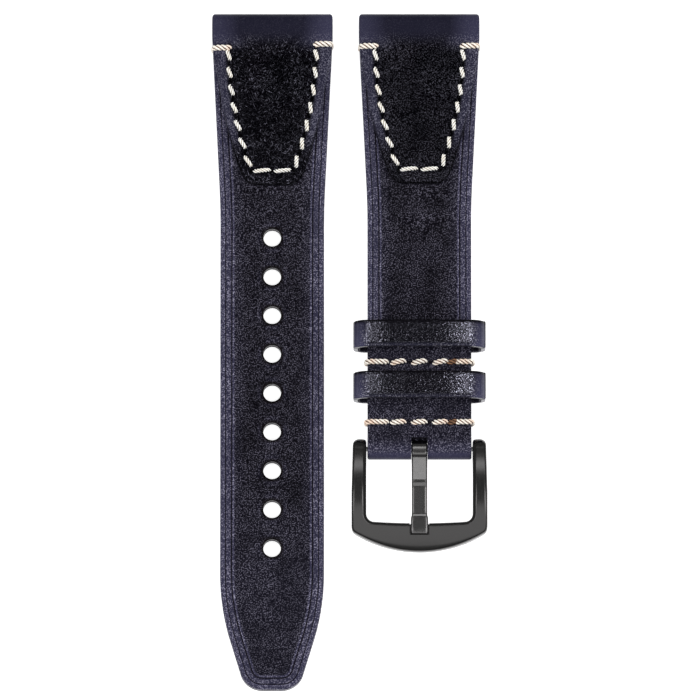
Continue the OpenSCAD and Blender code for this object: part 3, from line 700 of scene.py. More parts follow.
# The running length where the flap below ends and the turn round the lug bar starts.
RING_FROM = RING_R - RING_LEN


def wrap_path(body_t, raised):
    """From the end of the flap, forwards below the strap, round the lug bar and back over the top."""
    rows = []
    for s in np.concatenate([np.linspace(FLAP_LEN, THROAT + 0.02, 30), np.linspace(THROAT, RING_R, 16)]):
        floor = lift(s, raised)
        roof = floor + LINING_T if s > THROAT else RING_R - half_bore(s - RING_R, LUG_BORE_R)
        rows.append((RING_FROM - (s - RING_R), (s, floor), (s, roof)))
    rows += round_bar(RING_FROM, RING_R, RING_R, RING_R, LUG_BORE_R, -1, 28)
    for s in np.concatenate([np.linspace(RING_R, THROAT, 16), np.linspace(THROAT + 0.02, WRAP_LEN, 80)]):
        if s > THROAT:
            floor = lift(s, raised) + thick(s, body_t)
            rows.append((s, (s, floor + tongue_leather(s)), (s, floor)))
        else:
            rows.append((s, (s, 2 * RING_R), (s, RING_R + half_bore(s - RING_R, LUG_BORE_R))))
    return path(*zip(*rows))


wrap_rows = np.concatenate([
    steps(RING_FROM - (FLAP_LEN - RING_R), RING_FROM, 39), steps(RING_FROM, RING_R, 27),
    np.linspace(RING_R, WRAP_LEN - PATCH_END_R - 0.45, 118)])


def wrap_s(l):
    """Distance from the nose at running length l of a wrap."""
    return np.where(l >= RING_R, l, np.where(l < RING_FROM, RING_R + RING_FROM - l, 0.5))


def wrap_side(d):
    """Its outline; the leather draws in by 0.32 mm at the nose, where it turns hardest."""
    drawn_in = 0.32 * bump(wrap_rows - (RING_R - RING_LEN / 2), 1.0)
    half = np.where(wrap_rows > STITCH_FIRST, patch_half(wrap_rows), strap_half(wrap_s(wrap_rows)) - drawn_in)
    turn, stretch, last = math.radians(20), 1.52, WRAP_LEN - PATCH_END_R
    middle = (patch_half(last) - PATCH_END_R * math.cos(turn), last - stretch * PATCH_END_R * math.sin(turn))
    corner = arc(*middle, PATCH_END_R - d, np.linspace(turn, math.pi / 2, 21), stretch)
    return np.vstack([squeezed(half - d * 0.95, wrap_rows, d, 8), corner])


def wrap_top(x, l, d):
    s = wrap_s(l)
    q = stitch_distance(x, s)
    below = ease((s - STITCH_FIRST + 0.8) / 1.2)
    groove = 0.17 * bump(q, 0.45) * below
    corner = 0.1 * bump(s - STITCH_FIRST, 0.4) * ease((np.abs(x) - 7.4) / 0.6)
    puff = 0.24 * ease(-q / 2.6) * ease((s - 4.6) / 5.5)
    rim = 0.07 * ease(q / 1.0) * below - 0.05
    top = puff + rim * (q > 0) - np.maximum(groove, corner) - 0.3 * awl_pits(x, s)
    return np.where(l > RING_R, top * ease((s - 3.2) / 1.2), np.where(l < RING_FROM, -back_groove(x, s), 0.0))


def wrap_stain(x, l, d, w):
    """Painted shade in the stitch track, painted shade and dark wax at the awl holes, and darker leather
    inside the stitches and at the cut edge.
    """
    s = wrap_s(l)
    q = stitch_distance(x, s)
    track = 0.55 * bump(q, 0.5) * (s > STITCH_FIRST) + 0.3 * ease(-q / 1.5) * ease((s - 5) / 4)
    cut_edge = 0.8 * bump(d - 0.1, 0.16) * ease((s - 16) / 6)
    marks = highest(track, cut_edge, awl_pits(x, s, 0.7, 0.4))
    return np.clip(marks, 0, 1) * ((w == 0) & (l > RING_R))


def wrap_bloom(x, l, d, w):
    """Paler outside the stitches and on the inner face and below the bar, and painted sheen round the nose
    and on its sides, more at the right.
    """
    s = wrap_s(l)
    beside = ease(stitch_distance(x, s) / 0.8) * ease((s - 5) / 2) * (1 - ease((s - 20) / 6))
    # Painted sheen on the sides of the nose, stronger at the right, and round the nose itself.
    ends = np.where(x > 0, 0.55, 0.45) * ease((np.abs(x) - 2.0) / 8.5) * (1 - ease((s - 4.5) / 3.0))
    nose = 0.45 * (1 - ease((s - 3.0) / 3.5))
    return np.where((w == 0) & (l > -2), highest(0.28 * beside, ends, 0.42 * nose), 0.4)


def wrap_calm(x, l, d, w):
    """Smooth where it turns round the lug bar."""
    return 1 - ease((l - 3.0) / 4.0) * (w == 0)


for (half, centre_x, body_t, raised), material in zip(HALVES, (wrap_leather, grainy_wrap)):
    piece = sheet_of_leather(
        half + "_wrap_leather", material, wrap_path(body_t, raised), centre_x, wrap_side, fine_columns(96),
        [(0, 0.22), (0.03, 0.13), (0.09, 0.05), (0.18, 0.015), (0.3, 0)], [(0, 0.06), (0.06, 0), (0.3, 0)],
        (wrap_top, level), bloom=wrap_bloom, stain=wrap_stain, calm=wrap_calm)
    finish(piece, half + "_strap", "wrap_leather", half + "_lug_wrap")


# ---- Short half: outer leather with its fold, and the lining ----

FOLD_LEN, FLAP_T = math.pi * FOLD_R, 1.0


def short_path():
    """Along the top, round the buckle bar, and back below to the end of the fold."""
    rows = []
    for s in np.append(np.linspace(THROAT, LINING_END, 200), np.linspace(LINING_END + 0.05, BAR_S, 26)):
        low = short_mid(s) if s <= LINING_END else BAR_Z + half_bore(s - BAR_S, FOLD_BORE)
        rows.append((s, (s, short_top(s)), (s, low)))
    rows += round_bar(BAR_S, BAR_S, BAR_Z, FOLD_R, FOLD_BORE, 1, 26)
    for s in np.append(np.linspace(BAR_S, LINING_END + 0.05, 26), np.linspace(LINING_END, FLAP_S, 120)):
        floor = fold_floor(s)
        bore = BAR_Z - half_bore(s - BAR_S, FOLD_BORE)
        roof = min(short_floor(s), floor + FLAP_T) if s <= LINING_END else bore
        rows.append((BAR_S + FOLD_LEN + BAR_S - s, (s, floor), (s, roof)))
    return path(*zip(*rows))


# The tongue's slot is left out of the rows from its upper end, round the fold, to its lower end.
short_way, short_end = short_path(), BAR_S + FOLD_LEN + BAR_S - FLAP_S
slot_from, slot_to = BAR_S - SLOT_BACK, BAR_S + FOLD_LEN + SLOT_LOW_BACK
before_slot, in_slot = (69, 29), (7, 21, 7)
row_marks = (THROAT, JOIN_S, slot_from, BAR_S, BAR_S + FOLD_LEN, slot_to)
short_rows = np.concatenate([steps(*ends) for ends in zip(row_marks, row_marks[1:], before_slot + in_slot)]
                            + [np.linspace(slot_to, short_end, 70)])
slot_rows = (sum(before_slot), sum(before_slot + in_slot))


def short_s(l):
    """Distance from the nose at running length l of the short half's outer leather."""
    return np.where(l <= BAR_S, l, np.where(l < BAR_S + FOLD_LEN, BAR_S + 1, 2 * BAR_S + FOLD_LEN - l))


ROW_HOLES = [k * ROW_PITCH for k in (-1.5, -0.5, 0.5, 1.5)]


def row_pits(x, s):
    return highest(*(bump(x - at, 0.6) * bump(s - row, 0.3) for row in ROWS for at in ROW_HOLES))


def row_track(s):
    return highest(*(bump(s - row, 0.5) for row in ROWS))


def short_detail(x, l, d):
    s = short_s(l)
    return creased_top(CREASE_TO)(x, l, d) - 0.13 * row_track(s) - 0.15 * row_pits(x, s)


def short_bloom(x, l, d, w):
    """Pale along the creases, with their painted highlights, and a painted sheen, partly burnish, where it
    rolls round the bar and on below.
    """
    fold = 0.07 * ease((l - 58) / 1.5) + 0.25 * ease((l - 75.5) / 3.2) + 0.45 * ease((l - 78.3) / 1.0)
    return np.maximum(crease_bloom(x, l, d, w) * (l < CREASE_TO), fold * (w == 0))


# Painted shade in the creases and in the tracks of the stitch rows, and painted shade with dark wax at their
# awl holes.
def short_stain(x, l, d, w):
    s = short_s(l)
    marks = highest(crease_stain(l, d) * (l < CREASE_TO), 0.45 * row_track(s), row_pits(x, s))
    return np.clip(marks, 0, 1) * (w == 0)


def short_calm(x, l, d, w):
    return ease((l - 78.2) / 0.8) * (w == 0)


SLOT_CELLS, BESIDE_SLOT = 6, 10
piece = sheet_of_leather(
    "short_outer_leather", strap_leather, short_way, SHORT_X, lambda d: square_side(short_rows, d),
    middle_block(SLOT_HALF, MARGIN, BESIDE_SLOT, SLOT_CELLS), CREASED_EDGE, WIDE_BACK_EDGE,
    (short_detail, pocket(short_top, short_mid, JOIN_S - 2)),
    slot=slot_rows + (BESIDE_SLOT, BESIDE_SLOT + SLOT_CELLS), bloom=short_bloom, stain=short_stain,
    calm=short_calm)
finish(piece, "short_strap", "strap_leather", "short_top_leather")

lining_s = np.linspace(LINING_FROM, LINING_END, 160)
piece = sheet_of_leather(
    "short_lining_leather", lining_leather, flat_path(lining_s, short_mid(lining_s), short_floor(lining_s)),
    SHORT_X, lambda d: square_side(np.linspace(LINING_FROM, LINING_END, 90), d), fine_columns(40),
    BACK_EDGE, CUT_EDGE, (level, back_groove))
finish(piece, "short_strap", "lining_leather", "short_lining")


# ---- Keepers ----

HOLLOW_HALF = 1.7


def band_outline(w, h, r):
    """Rounded rectangle as points and outward normals; the top side bows up towards its middle."""
    points, normals = [], []
    corners = [(sx * (w / 2 - r), sz * (h / 2 - r)) for sx, sz in ((1, 1), (-1, 1), (-1, -1), (1, -1))]
    for i, (corner, following) in enumerate(zip(corners, corners[1:] + corners[:1])):
        turn = np.radians(90 * i + np.linspace(0, 90, 10))
        across = arc(0, 0, 1, turn)
        points.append(corner + r * across)
        normals.append(across)
        # The straight side that follows: 24 cells along the top and the bottom, 6 up the sides.
        t = steps(0, 1, 6 if i % 2 else 24)[1:, None]
        points.append(points[-1][-1] * (1 - t) + (following + r * across[-1]) * t)
        normals.append(across[-1] + 0 * t)
    points, normals = np.concatenate(points), np.concatenate(normals)
    top = points[:, 1] > h / 2 - r
    near = np.clip((np.abs(points[:, 0]) - 0.35 * w / 2) / (0.65 * w / 2), 0, 1)
    points[:, 1] -= np.where(top, KEEPER_RISE * near ** 2, 0)
    lean = np.arctan(2 * KEEPER_RISE * near / (0.65 * w / 2)) * np.sign(points[:, 0])
    turned = np.column_stack([normals[:, 0] * np.cos(lean) + normals[:, 1] * np.sin(lean),
                              normals[:, 1] * np.cos(lean) - normals[:, 0] * np.sin(lean)])
    return points, np.where((top & (normals[:, 1] > 0.95))[:, None], turned, normals)


def band(name, material, centre, w, h, r, thickness, length, edge=0.22, crease=0.0, recess=0.0):
    """A closed leather band: its section runs round the loop, with softened edges.
    recess is the depth of the flat hollow under its middle, in which the closing seam lies."""
    loop, normals = band_outline(w, h, r)
    half = length / 2
    # Across the band, and how far its outer face has dropped there.
    softened = [(0, edge), (0.04, 0.1), (0.13, 0.03), (0.26, 0)]
    section = [(-half + y, drop) for y, drop in softened]
    if crease:
        section += [(-half + 0.42, 0), (-half + 0.5, crease), (-half + 0.58, 0)]
    section += [(y, max(0.05 * (y / half) ** 2 - 0.02, 0)) for y in np.linspace(-half + 0.8, half - 0.8, 9)]
    section += [(half - y, drop) for y, drop in reversed(softened)]
    section += [(half, thickness - 0.06), (half - 0.08, thickness), (0, thickness),
                (-half + 0.08, thickness), (-half, thickness - 0.06)]
    wide = len(section)
    (x, z), (nx, nz) = np.repeat(loop, wide, axis=0).T, np.repeat(normals, wide, axis=0).T
    y, drop = np.tile(section, (len(loop), 1)).T
    drop = drop + recess * ((nz < -0.99) & (np.maximum(np.abs(x), np.abs(y)) < HOLLOW_HALF) & (drop < 0.3))
    # Painted shade: dark along the band's edge towards the nose, and darkening towards it down the face.
    stain = 0.9 * ease((y - half + 0.8) / 0.3) + 0.4 * ease((y + half) / length)
    return mesh_object(
        name, np.column_stack([centre[0] + x - nx * drop, centre[1] + y, centre[2] + z - nz * drop]),
        skin(len(loop), wide, closed=True), material, stain=np.clip(stain, 0, 1),
        # Painted sheen on the rounded ends, and a painted highlight along the edge towards the buckle.
        bloom=0.6 * ease((np.abs(x) - 8.4) / 2.4) + 0.14 * ease((-y - half + 0.8) / 0.5),
        calm=ease((np.abs(x) - 9.2) / 1.5))


for label, body, top_z, bottom_z, near_s, recess in (
        ("free_keeper", "loose_keeper", FREE_H, 0.0, FREE_S, 0.26),
        ("fixed_keeper", "short_strap", FIXED_TOP, FIXED_BOTTOM, FIXED_S, 0.0)):
    centre, height = (SHORT_X, NOSE_Y - near_s - KEEPER_LEN / 2, (top_z + bottom_z) / 2), top_z - bottom_z
    piece = band(label + "_band", keeper_leather, centre, KEEPER_W, height, KEEPER_R, KEEPER_T, KEEPER_LEN,
                 crease=0.05, recess=recess)
    finish(piece, body, "strap_leather", label)
    piece = band(label + "_inner_band", lining_leather, centre, KEEPER_W - 2 * KEEPER_T,
                 height - 2 * KEEPER_T, KEEPER_R - KEEPER_T, KEEPER_LINING_T, KEEPER_LEN - 0.12, edge=0.08)
    finish(piece, body, "lining_leather", label + "_lining")


# ---- Stitching: a twisted thread swept along each stitch by Geometry Nodes ----

def twisted_thread_tree():
    """Three plies twisted round each run of points, thinner towards the ends of the run."""
    tree = bpy.data.node_groups.new("twisted_thread", "GeometryNodeTree")
    sockets = (("Stitches", "INPUT", "Geometry", None), ("Thread radius", "INPUT", "Float", 0.0003),
               ("Lay length", "INPUT", "Float", 0.0016), ("Step", "INPUT", "Float", 0.00018),
               ("End taper", "INPUT", "Float", 0.5), ("Thread", "INPUT", "Material", None),
               ("Geometry", "OUTPUT", "Geometry", None))
    for label, side, kind, value in sockets:
        socket = tree.interface.new_socket(label, in_out=side, socket_type="NodeSocket" + kind)
        if value is not None:
            socket.default_value = value

    def geometry(kind, inputs=None, **settings):
        return add_node(tree, "GeometryNode" + kind, inputs, **settings).outputs

    given = add_node(tree, "NodeGroupInput").outputs
    radius = given["Thread radius"]
    curve = geometry("MeshToCurve", {"Mesh": given["Stitches"]})[0]
    even = geometry("ResampleCurve", {"Curve": curve, "Length": given["Step"]}, mode="LENGTH")[0]
    along = geometry("SplineParameter")
    # The ends of each stitch draw in where the awl hole grips the thread.
    off_centre = maths(tree, "ABSOLUTE", maths(tree, "SUBTRACT", along["Factor"], 0.5))
    loss = product(tree, given["End taper"], -4.0)
    draw_in = maths(tree, "MULTIPLY_ADD", maths(tree, "POWER", off_centre, 2.0), loss, 1.0)
    shaped = geometry("SetCurveRadius", {"Curve": even, "Radius": draw_in})[0]
    turns = maths(tree, "DIVIDE", along["Length"], given["Lay length"])
    twisted = geometry("SetCurveTilt", {"Curve": shaped, "Tilt": product(tree, turns, 2 * math.pi)})[0]
    ply = geometry("CurvePrimitiveCircle", {"Resolution": 9, "Radius": product(tree, radius, 0.46)})[0]
    centres = geometry("MeshCircle", {"Vertices": 3, "Radius": product(tree, radius, 0.54)})[0]
    plies = geometry("InstanceOnPoints", {"Points": centres, "Instance": ply})[0]
    flat = geometry("RealizeInstances", {"Geometry": plies})[0]
    # How far each side of a ply lies below the outside of the thread, from 0 to 1.
    here = geometry("InputPosition")[0]
    out_at = add_node(tree, "ShaderNodeVectorMath", {0: here}, operation="LENGTH").outputs["Value"]
    below = maths(tree, "SUBTRACT", 1.0, maths(tree, "DIVIDE", out_at, radius))
    profile = geometry("StoreNamedAttribute", {"Geometry": flat, "Name": "ply_depth", "Value": below},
                       data_type="FLOAT", domain="POINT")[0]
    swept = geometry("CurveToMesh", {"Curve": twisted, "Profile Curve": profile, "Fill Caps": True})[0]
    smooth = geometry("SetShadeSmooth", {"Geometry": swept})[0]
    real = geometry("RealizeInstances", {"Geometry": smooth})[0]
    coated = geometry("SetMaterial", {"Geometry": real, "Material": given["Thread"]})[0]
    add_node(tree, "NodeGroupOutput", {"Geometry": coated})
    return tree


thread_tree = twisted_thread_tree()


def sew(name, runs, radius, taper, material, body, *nodes):
    """Makes one plain mesh of thread from runs of points."""
    points, edges = [], []
    for run in runs:
        edges += [(len(points) + i, len(points) + i + 1) for i in range(len(run) - 1)]
        points.extend(run)
    guide_mesh = bpy.data.meshes.new(name + "_guide")
    guide_mesh.from_pydata((np.array(points) * MM).tolist(), edges, [])
    guide = new_object(name + "_guide", guide_mesh)
    modifier = guide.modifiers.new("twist", "NODES")
    modifier.node_group = thread_tree
    values = {"Thread radius": radius * MM, "Lay length": radius * 4.6 * MM, "Step": 0.15 * MM,
              "End taper": taper, "Thread": material}
    for item in thread_tree.interface.items_tree:
        if item.name in values:
            modifier[item.identifier] = values[item.name]
    mesh = applied(guide)
    mesh.name = name
    bpy.data.objects.remove(guide)
    return finish(new_object(name, mesh), body, "thread", *nodes)


def top_run(way, centre_x, a, b, slant, proud=0.12, sink=0.55, pull=0.7):
    """A stitch on the outer face from hole a to hole b, both given as x and running length. slant
    moves its two ends, pull shortens it, and its middle stands proud while its ends sink in."""
    a, b = np.array(a, float), np.array(b, float)
    along = (b - a) / np.linalg.norm(b - a)
    start, end = a + along * pull + slant[0], b - along * pull + slant[1]
    t = np.linspace(0, 1, 15)
    x, l = (start[i] * (1 - t) + end[i] * t for i in (0, 1))
    return place(way, centre_x, x, l, 0, proud - (proud + sink) * np.abs(2 * t - 1) ** 3.2)


def under_run(centre_x, a, b, height, curl):
    """The stitch between the same holes below the strap; its ends curl up into them."""
    t = np.linspace(0, 1, 13)
    x, s = (a[i] + (b[i] - a[i]) * t for i in (0, 1))
    return np.column_stack([x + centre_x, NOSE_Y - s, height(s) + curl * np.abs(2 * t - 1) ** 3])


def edge_run(centre_x, side, y, xs, zs, bends):
    """A stitch round the edge of the strap; side is 1 at the right and -1 at the left. xs are the
    places of the hole and the edge, and zs are the heights of the top and the underside. bends are
    its offsets from hole and edge on top, then from edge and hole below."""
    near = zip(((xs[0], zs[0]), (xs[1], zs[0]), (xs[1], zs[1]), (xs[0], zs[1])), bends)
    return [(centre_x + side * (x + dx), y, z + dz) for (x, z), bend in near for dx, dz in bend]


def lean(a, b, amount):
    """Sideways offsets that lean a stitch as a saddle stitch does, upper end to the left."""
    along = np.subtract(b, a) / np.linalg.norm(np.subtract(b, a))
    across = np.array([along[1], -along[0]]) * amount
    return -across, across


CORNER_BENDS = (((0, -0.45), (0.2, 0), (0.7, 0.2), (1.7, 0.24)),
                ((-0.8, 0.2), (-0.35, 0.02), (-0.18, -0.35), (-0.16, -1.2)),
                ((-0.16, 1.35), (-0.22, 0.85), (-0.45, 0.68), (-0.9, 0.65)),
                ((0.5, 0.65), (0.1, 0.75), (0, 1.1)))
ROW_BENDS = (((0, -0.45), (0.25, 0.02), (0.8, 0.2)),
             ((-0.6, 0.2), (-0.08, 0.02), (0.1, -0.35), (0.12, -1.0)),
             ((0.12, 0.8), (0.05, 0.35), (-0.25, 0.2), (-0.8, 0.2)),
             ((0.4, 0.2), (0, 0.6)))

for half, centre_x, body_t, raised in HALVES:
    way = wrap_path(body_t, raised)
    runs = []
    for a, b in zip(awl_holes, awl_holes[1:]):
        amount, pull = (0.12, 0.52) if abs(b[1] - a[1]) < 0.6 else (0.26, 0.7)
        runs.append(top_run(way, centre_x, a, b, lean(a, b, amount), pull=pull))
        runs.append(under_run(centre_x, a, b, lambda s: lift(s, raised) + 0.46, 0.3))
    xs = awl_side[0][0] - 0.25, strap_half(STITCH_FIRST) - 0.12
    deck = lift(STITCH_FIRST, raised) + thick(STITCH_FIRST, body_t) + tongue_leather(STITCH_FIRST)
    # The stitches round the corners sit a little lower at the left than at the right.
    shift = 0.33 if half == "long" else 0.03
    corners = [edge_run(centre_x, side, NOSE_Y - STITCH_FIRST + shift * side, xs, (deck, 0), CORNER_BENDS)
               for side in (-1, 1)]
    for kind, sewn, radius, taper, thread in (("patch", runs, 0.38, 0.85, cream_thread),
                                              ("corner", corners, 0.54, 0.3, tan_thread)):
        sew(f"{half}_{kind}_thread", sewn, radius, taper, thread, half + "_strap", half + "_patch_stitching")

for label, row, tilt in zip(("upper", "lower"), ROWS, (0.24, 0.08)):
    runs = []
    for a, b in zip(ROW_HOLES, ROW_HOLES[1:]):
        slant = (0, tilt), (0, -tilt)
        runs.append(top_run(short_way, SHORT_X, (a, row), (b, row), slant, 0.16, 0.55, 0.68))
        runs.append(under_run(SHORT_X, (a, row), (b, row), lambda s: FLAP_Z + 0.2, 0.35))
    for side, inset in ((-1, 0.15), (1, 0.8)):
        xs = ROW_HOLES[-1] + inset, BODY_W / 2 + 0.02
        runs.append(edge_run(SHORT_X, side, NOSE_Y - row, xs, (short_top(row), FLAP_Z), ROW_BENDS))
    sew(label + "_row_thread", runs, 0.5, 0.5, tan_thread, "short_strap", "buckle_end_stitching_" + label)
    # Where the thread doubles back over itself it is brown with wax.
    doubled = top_run(short_way, SHORT_X, (5.0, row), (6.8, row), ((0, 0.1), (0, -0.1)), 0.16, 0.4, 0.15)
    sew(label + "_row_back_stitch", [doubled], 0.48, 0.4, brown_thread, "short_strap")

seam_bend = ((-1.25, 0.5), (-1.15, 0.25), (-0.8, 0.17), (0, 0.17), (0.8, 0.17), (1.15, 0.25), (1.25, 0.5))
seam = [[(SHORT_X + x, NOSE_Y - FREE_S - KEEPER_LEN / 2 + y, z) for x, z in seam_bend] for y in (-1.4, 1.4)]
sew("free_keeper_thread", seam, 0.16, 0.3, tan_thread, "loose_keeper", "free_keeper_seam")


# ---- Buckle ----

# The frame in plan: u runs from the bar towards the window's crossbar, and x across the strap.
ARCH_U, ARCH_Z, ARCH_TOP, ARCH_LOW = 4.8, -24.1, 29.0, 26.7
EAR_R, IN_HALF, OUT_HALF, EAR_OUT = 1.8, 9.3, 11.9, 11.65
WINDOW, WINDOW_R, WINDOW_HALF, SIDE_TO, CORNER_FROM = 13.0, 1.4, 7.9, 11.6, 13.7
END_R, END_MID, END_FROM_X, END_TO_X = 22.5, 18.0 - 22.5, 11.2, 9.6


def arch(u, r):
    return ARCH_Z + math.sqrt(r * r - (u - ARCH_U) ** 2)


def frame_heights(u):
    """Height of the frame's underside and top."""
    if u < 0:
        ear = math.sqrt(max(EAR_R ** 2 - u * u, 0.02))
        return BAR_Z - ear, BAR_Z + ear
    ear = BAR_Z - math.sqrt(max(EAR_R ** 2 - u * u, 0)) if u < EAR_R else 9
    return max(min(ear, arch(u, ARCH_LOW)), 0.0), arch(u, ARCH_TOP)


def rounded_in(size, share):
    """How far a side has drawn in towards a rounded end: by size where share is 1."""
    return size * (1 - math.sqrt(1 - min(max(share, 0), 1) ** 2))


def frame_stations():
    """Pairs of plan points, inner and outer, from the left ear round to the right ear."""
    right = []
    for u in np.append(-EAR_R * np.cos(np.linspace(0, math.pi / 2, 12)), np.linspace(0.3, SIDE_TO, 40)):
        outer = EAR_OUT + (OUT_HALF - EAR_OUT) * min(max((u + EAR_R) / 9.6, 0), 1)
        right.append(((IN_HALF + rounded_in(0.7, (-0.9 - u) / 0.92), u),
                      (outer - rounded_in(1.2, (-0.5 - u) / 1.32), u)))
    # The outer rim on from there: straight, round the corner, and on to the curved end.
    turn = math.asin(END_FROM_X / END_R)
    start = np.array([OUT_HALF, CORNER_FROM])
    corner = np.array([OUT_HALF, END_MID + math.sqrt(END_R ** 2 - OUT_HALF ** 2) + 0.1])
    end_arc = arc(0, END_MID, END_R, math.pi / 2 - np.linspace(turn, math.asin(END_TO_X / END_R), 8))
    rim = np.vstack([[(OUT_HALF, u) for u in np.linspace(SIDE_TO, CORNER_FROM, 8)],
                     bent(start, corner, end_arc[0], 12)[1:], end_arc[1:]])
    run = np.append(0, np.cumsum(np.hypot(*np.diff(rim, axis=0).T)))
    for share in np.arange(1, 25) / 24:
        a = math.pi / 2 * share
        outer = [np.interp(run[-1] * share, run, rim[:, i]) for i in (0, 1)]
        right.append(((WINDOW_HALF + WINDOW_R * math.cos(a), SIDE_TO + WINDOW_R * math.sin(a)), outer))
    for x in np.linspace(WINDOW_HALF, 0, 26)[1:]:
        out_x = x + 1.7 * ease((x - 3) / 4.9)
        bow = 0.25 * (1 - (x / WINDOW_HALF) ** 2)
        right.append(((x, WINDOW + bow), (out_x, END_MID + math.sqrt(END_R ** 2 - out_x ** 2))))
    left = [((-a[0], a[1]), (-b[0], b[1])) for a, b in right]
    return np.array(left + right[::-1][1:], float)


def rounded_section(width, height, r_out, r_in):
    """Rounded rectangle in fractions of its width and height, both from 0 to 1."""
    result = []
    for cx, cy, start, r in ((1, 1, 0, r_out), (0, 1, 90, r_in), (0, 0, 180, r_in), (1, 0, 270, r_out)):
        rx, ry = r / width, r / height
        for a in np.radians(start + np.linspace(0, 90, 5)):
            result.append(((1 - rx) * cx + rx * (1 - cx) + rx * math.cos(a),
                           (1 - ry) * cy + ry * (1 - cy) + ry * math.sin(a)))
        if start in (0, 180):
            x0, y0 = result[-1]
            x1 = rx if start == 0 else 1 - rx
            result += [(x0 + (x1 - x0) * k / 6, y0) for k in range(1, 6)]
    return result


def frame_section(width, height):
    """Across the frame in fractions of width and height: soft outside, and a flat bevel inside."""
    bevel = [(0.62, 0), (0.5, 0.03), (0.44, 0.08), (0.16, 0.2), (0.08, 0.25), (0.0, 0.4)]
    soft = min(0.42, height / 2.3)
    rounded = rounded_section(width, height, soft, min(0.25, soft))
    flat_from, flat_to = 1 - soft / width, bevel[0][0] / width
    flat_top = [(flat_from - (flat_from - flat_to) * k / 6, 1.0) for k in range(1, 6)]
    # The section's first corner is its outer top, and from point 15 on it is the underside.
    return rounded[:5] + flat_top + [(a / width, 1 - b / height) for a, b in bevel] + rounded[15:]


def loft(name, sections, material):
    wide = len(sections[0])
    last = (len(sections) - 1) * wide
    ends = [tuple(range(wide)), tuple(last + j for j in reversed(range(wide)))]
    return mesh_object(name, np.concatenate(sections), skin(len(sections), wide) + ends, material)


sections = []
for inner, outer in frame_stations():
    low_mid, high_mid = frame_heights((inner[1] + outer[1]) / 2)
    section = []
    for a, b in frame_section(np.linalg.norm(outer - inner), max(high_mid - low_mid, 0.5)):
        x, u = inner + (outer - inner) * a
        low, high = frame_heights(u)
        section.append((SHORT_X + x, BAR_Y - u, low + (high - low) * b))
    sections.append(section)
buckle = loft("buckle_frame_metal", sections, gunmetal)


def cut(obj, boxes, rods):
    """Cuts boxes and rods along X out of a closed piece; a box is its low and high corner."""
    tool = bmesh.new()
    for low, high in boxes:
        for v in bmesh.ops.create_cube(tool, size=1.0)["verts"]:
            v.co = Vector([(low[i] + high[i]) / 2 + v.co[i] * (high[i] - low[i]) for i in range(3)]) * MM
    for centre, radius, length in rods:
        made = bmesh.ops.create_cone(tool, cap_ends=True, segments=32, radius1=radius, radius2=radius,
                                     depth=length)
        for v in made["verts"]:
            v.co = Vector((centre[0] + v.co.z, centre[1] + v.co.x, centre[2] + v.co.y)) * MM
    bmesh.ops.recalc_face_normals(tool, faces=tool.faces)
    mesh = bpy.data.meshes.new("cutter")
    tool.to_mesh(mesh)
    tool.free()
    helper = new_object("cutter", mesh)
    modifier = obj.modifiers.new("cut", "BOOLEAN")
    modifier.object, modifier.operation, modifier.solver = helper, "DIFFERENCE", "EXACT"
    result = applied(obj)
    obj.modifiers.clear()
    obj.data = result
    bpy.data.objects.remove(helper)
    result.shade_smooth()
    result.set_sharp_from_angle(angle=math.radians(32))


# Each ear has a blind hole for a tip of the bar, and the crossbar has a rest for the tongue.
PIN_R, PIN_LEN = 0.47, 2.5
REST_HALF, REST_TO, REST_FROM, REST_Z = 1.725, 15.25, 12, 2.25
cut(buckle,
    [((SHORT_X - REST_HALF, BAR_Y - REST_TO, REST_Z), (SHORT_X + REST_HALF, BAR_Y - REST_FROM, 8))],
    [((SHORT_X + m * IN_HALF, BAR_Y, BAR_Z), PIN_R, PIN_LEN) for m in (-1, 1)])
finish(buckle, "buckle", "dark_metal", "buckle_frame")


# The tongue in side view: distance from the middle of the bar, and height above the table.
EYE_R, EYE_T, BLADE_T, TONGUE_W = 1.175, 0.65, 1.2, 2.75
BLADE_TOP = [(0.0, 4.2), (0.85, 4.17), (1.2, 4.0), (1.6, 4.24), (5.75, 4.53), (6.1, 4.49), (6.95, 4.52),
             (11.65, 3.86), (12.1, 3.89), (15.05, 3.56)]


def filleted(corners, r):
    """A line of points with each inner corner rounded."""
    corners = np.array(corners, float)
    result = [corners[:1]]
    for before, at, after in zip(corners, corners[1:], corners[2:]):
        a, b = (at + (end - at) / np.linalg.norm(end - at) * r for end in (before, after))
        result.append(bent(a, at, b, 6))
    return np.vstack(result + [corners[-1:]])


def tongue_sections():
    """The blade and its eye are one strip, rolled round the bar from below."""
    eye = arc(0, BAR_Z, EYE_R, np.radians(np.linspace(12, -262, 44)))
    top = filleted(BLADE_TOP, 0.15)
    blade = np.vstack([p + (q - p) * steps(0, 1, max(1, int(np.linalg.norm(q - p) / 0.5)))[:, None]
                       for p, q in zip(top, top[1:])] + [top[-1:]])
    blade = blade[blade[:, 0] >= 0.3]
    blade_t = EYE_T + (BLADE_T - EYE_T) * ease(blade[:, 0] / 2.4)
    blade[:, 1] -= blade_t / 2
    centres, thickness = np.vstack([eye, blade]), np.append(EYE_T + 0 * eye[:, 0], blade_t)
    normals = normals_of(centres)
    normals[centres[:, 0] > 2] = 0, 1
    size = np.ones(len(centres))
    size[[0, -1]] = 0.92
    result = []
    for (u, z), t, normal, k in zip(centres, thickness, normals, size):
        wide, r = TONGUE_W + 0.3 * ease((u - 11.8) / 0.6), min(0.26, t * 0.4)
        section = []
        for a, b in rounded_section(wide, t, r, r):
            off = normal * (b - 0.5) * t * k
            section.append((SHORT_X + (a - 0.5) * wide * k, BAR_Y - u - off[0], z + off[1]))
        result.append(section)
    return result


piece = loft("buckle_tongue_metal", tongue_sections(), lighter_tongue_metal)
finish(piece, "tongue", "dark_metal", "buckle_tongue")

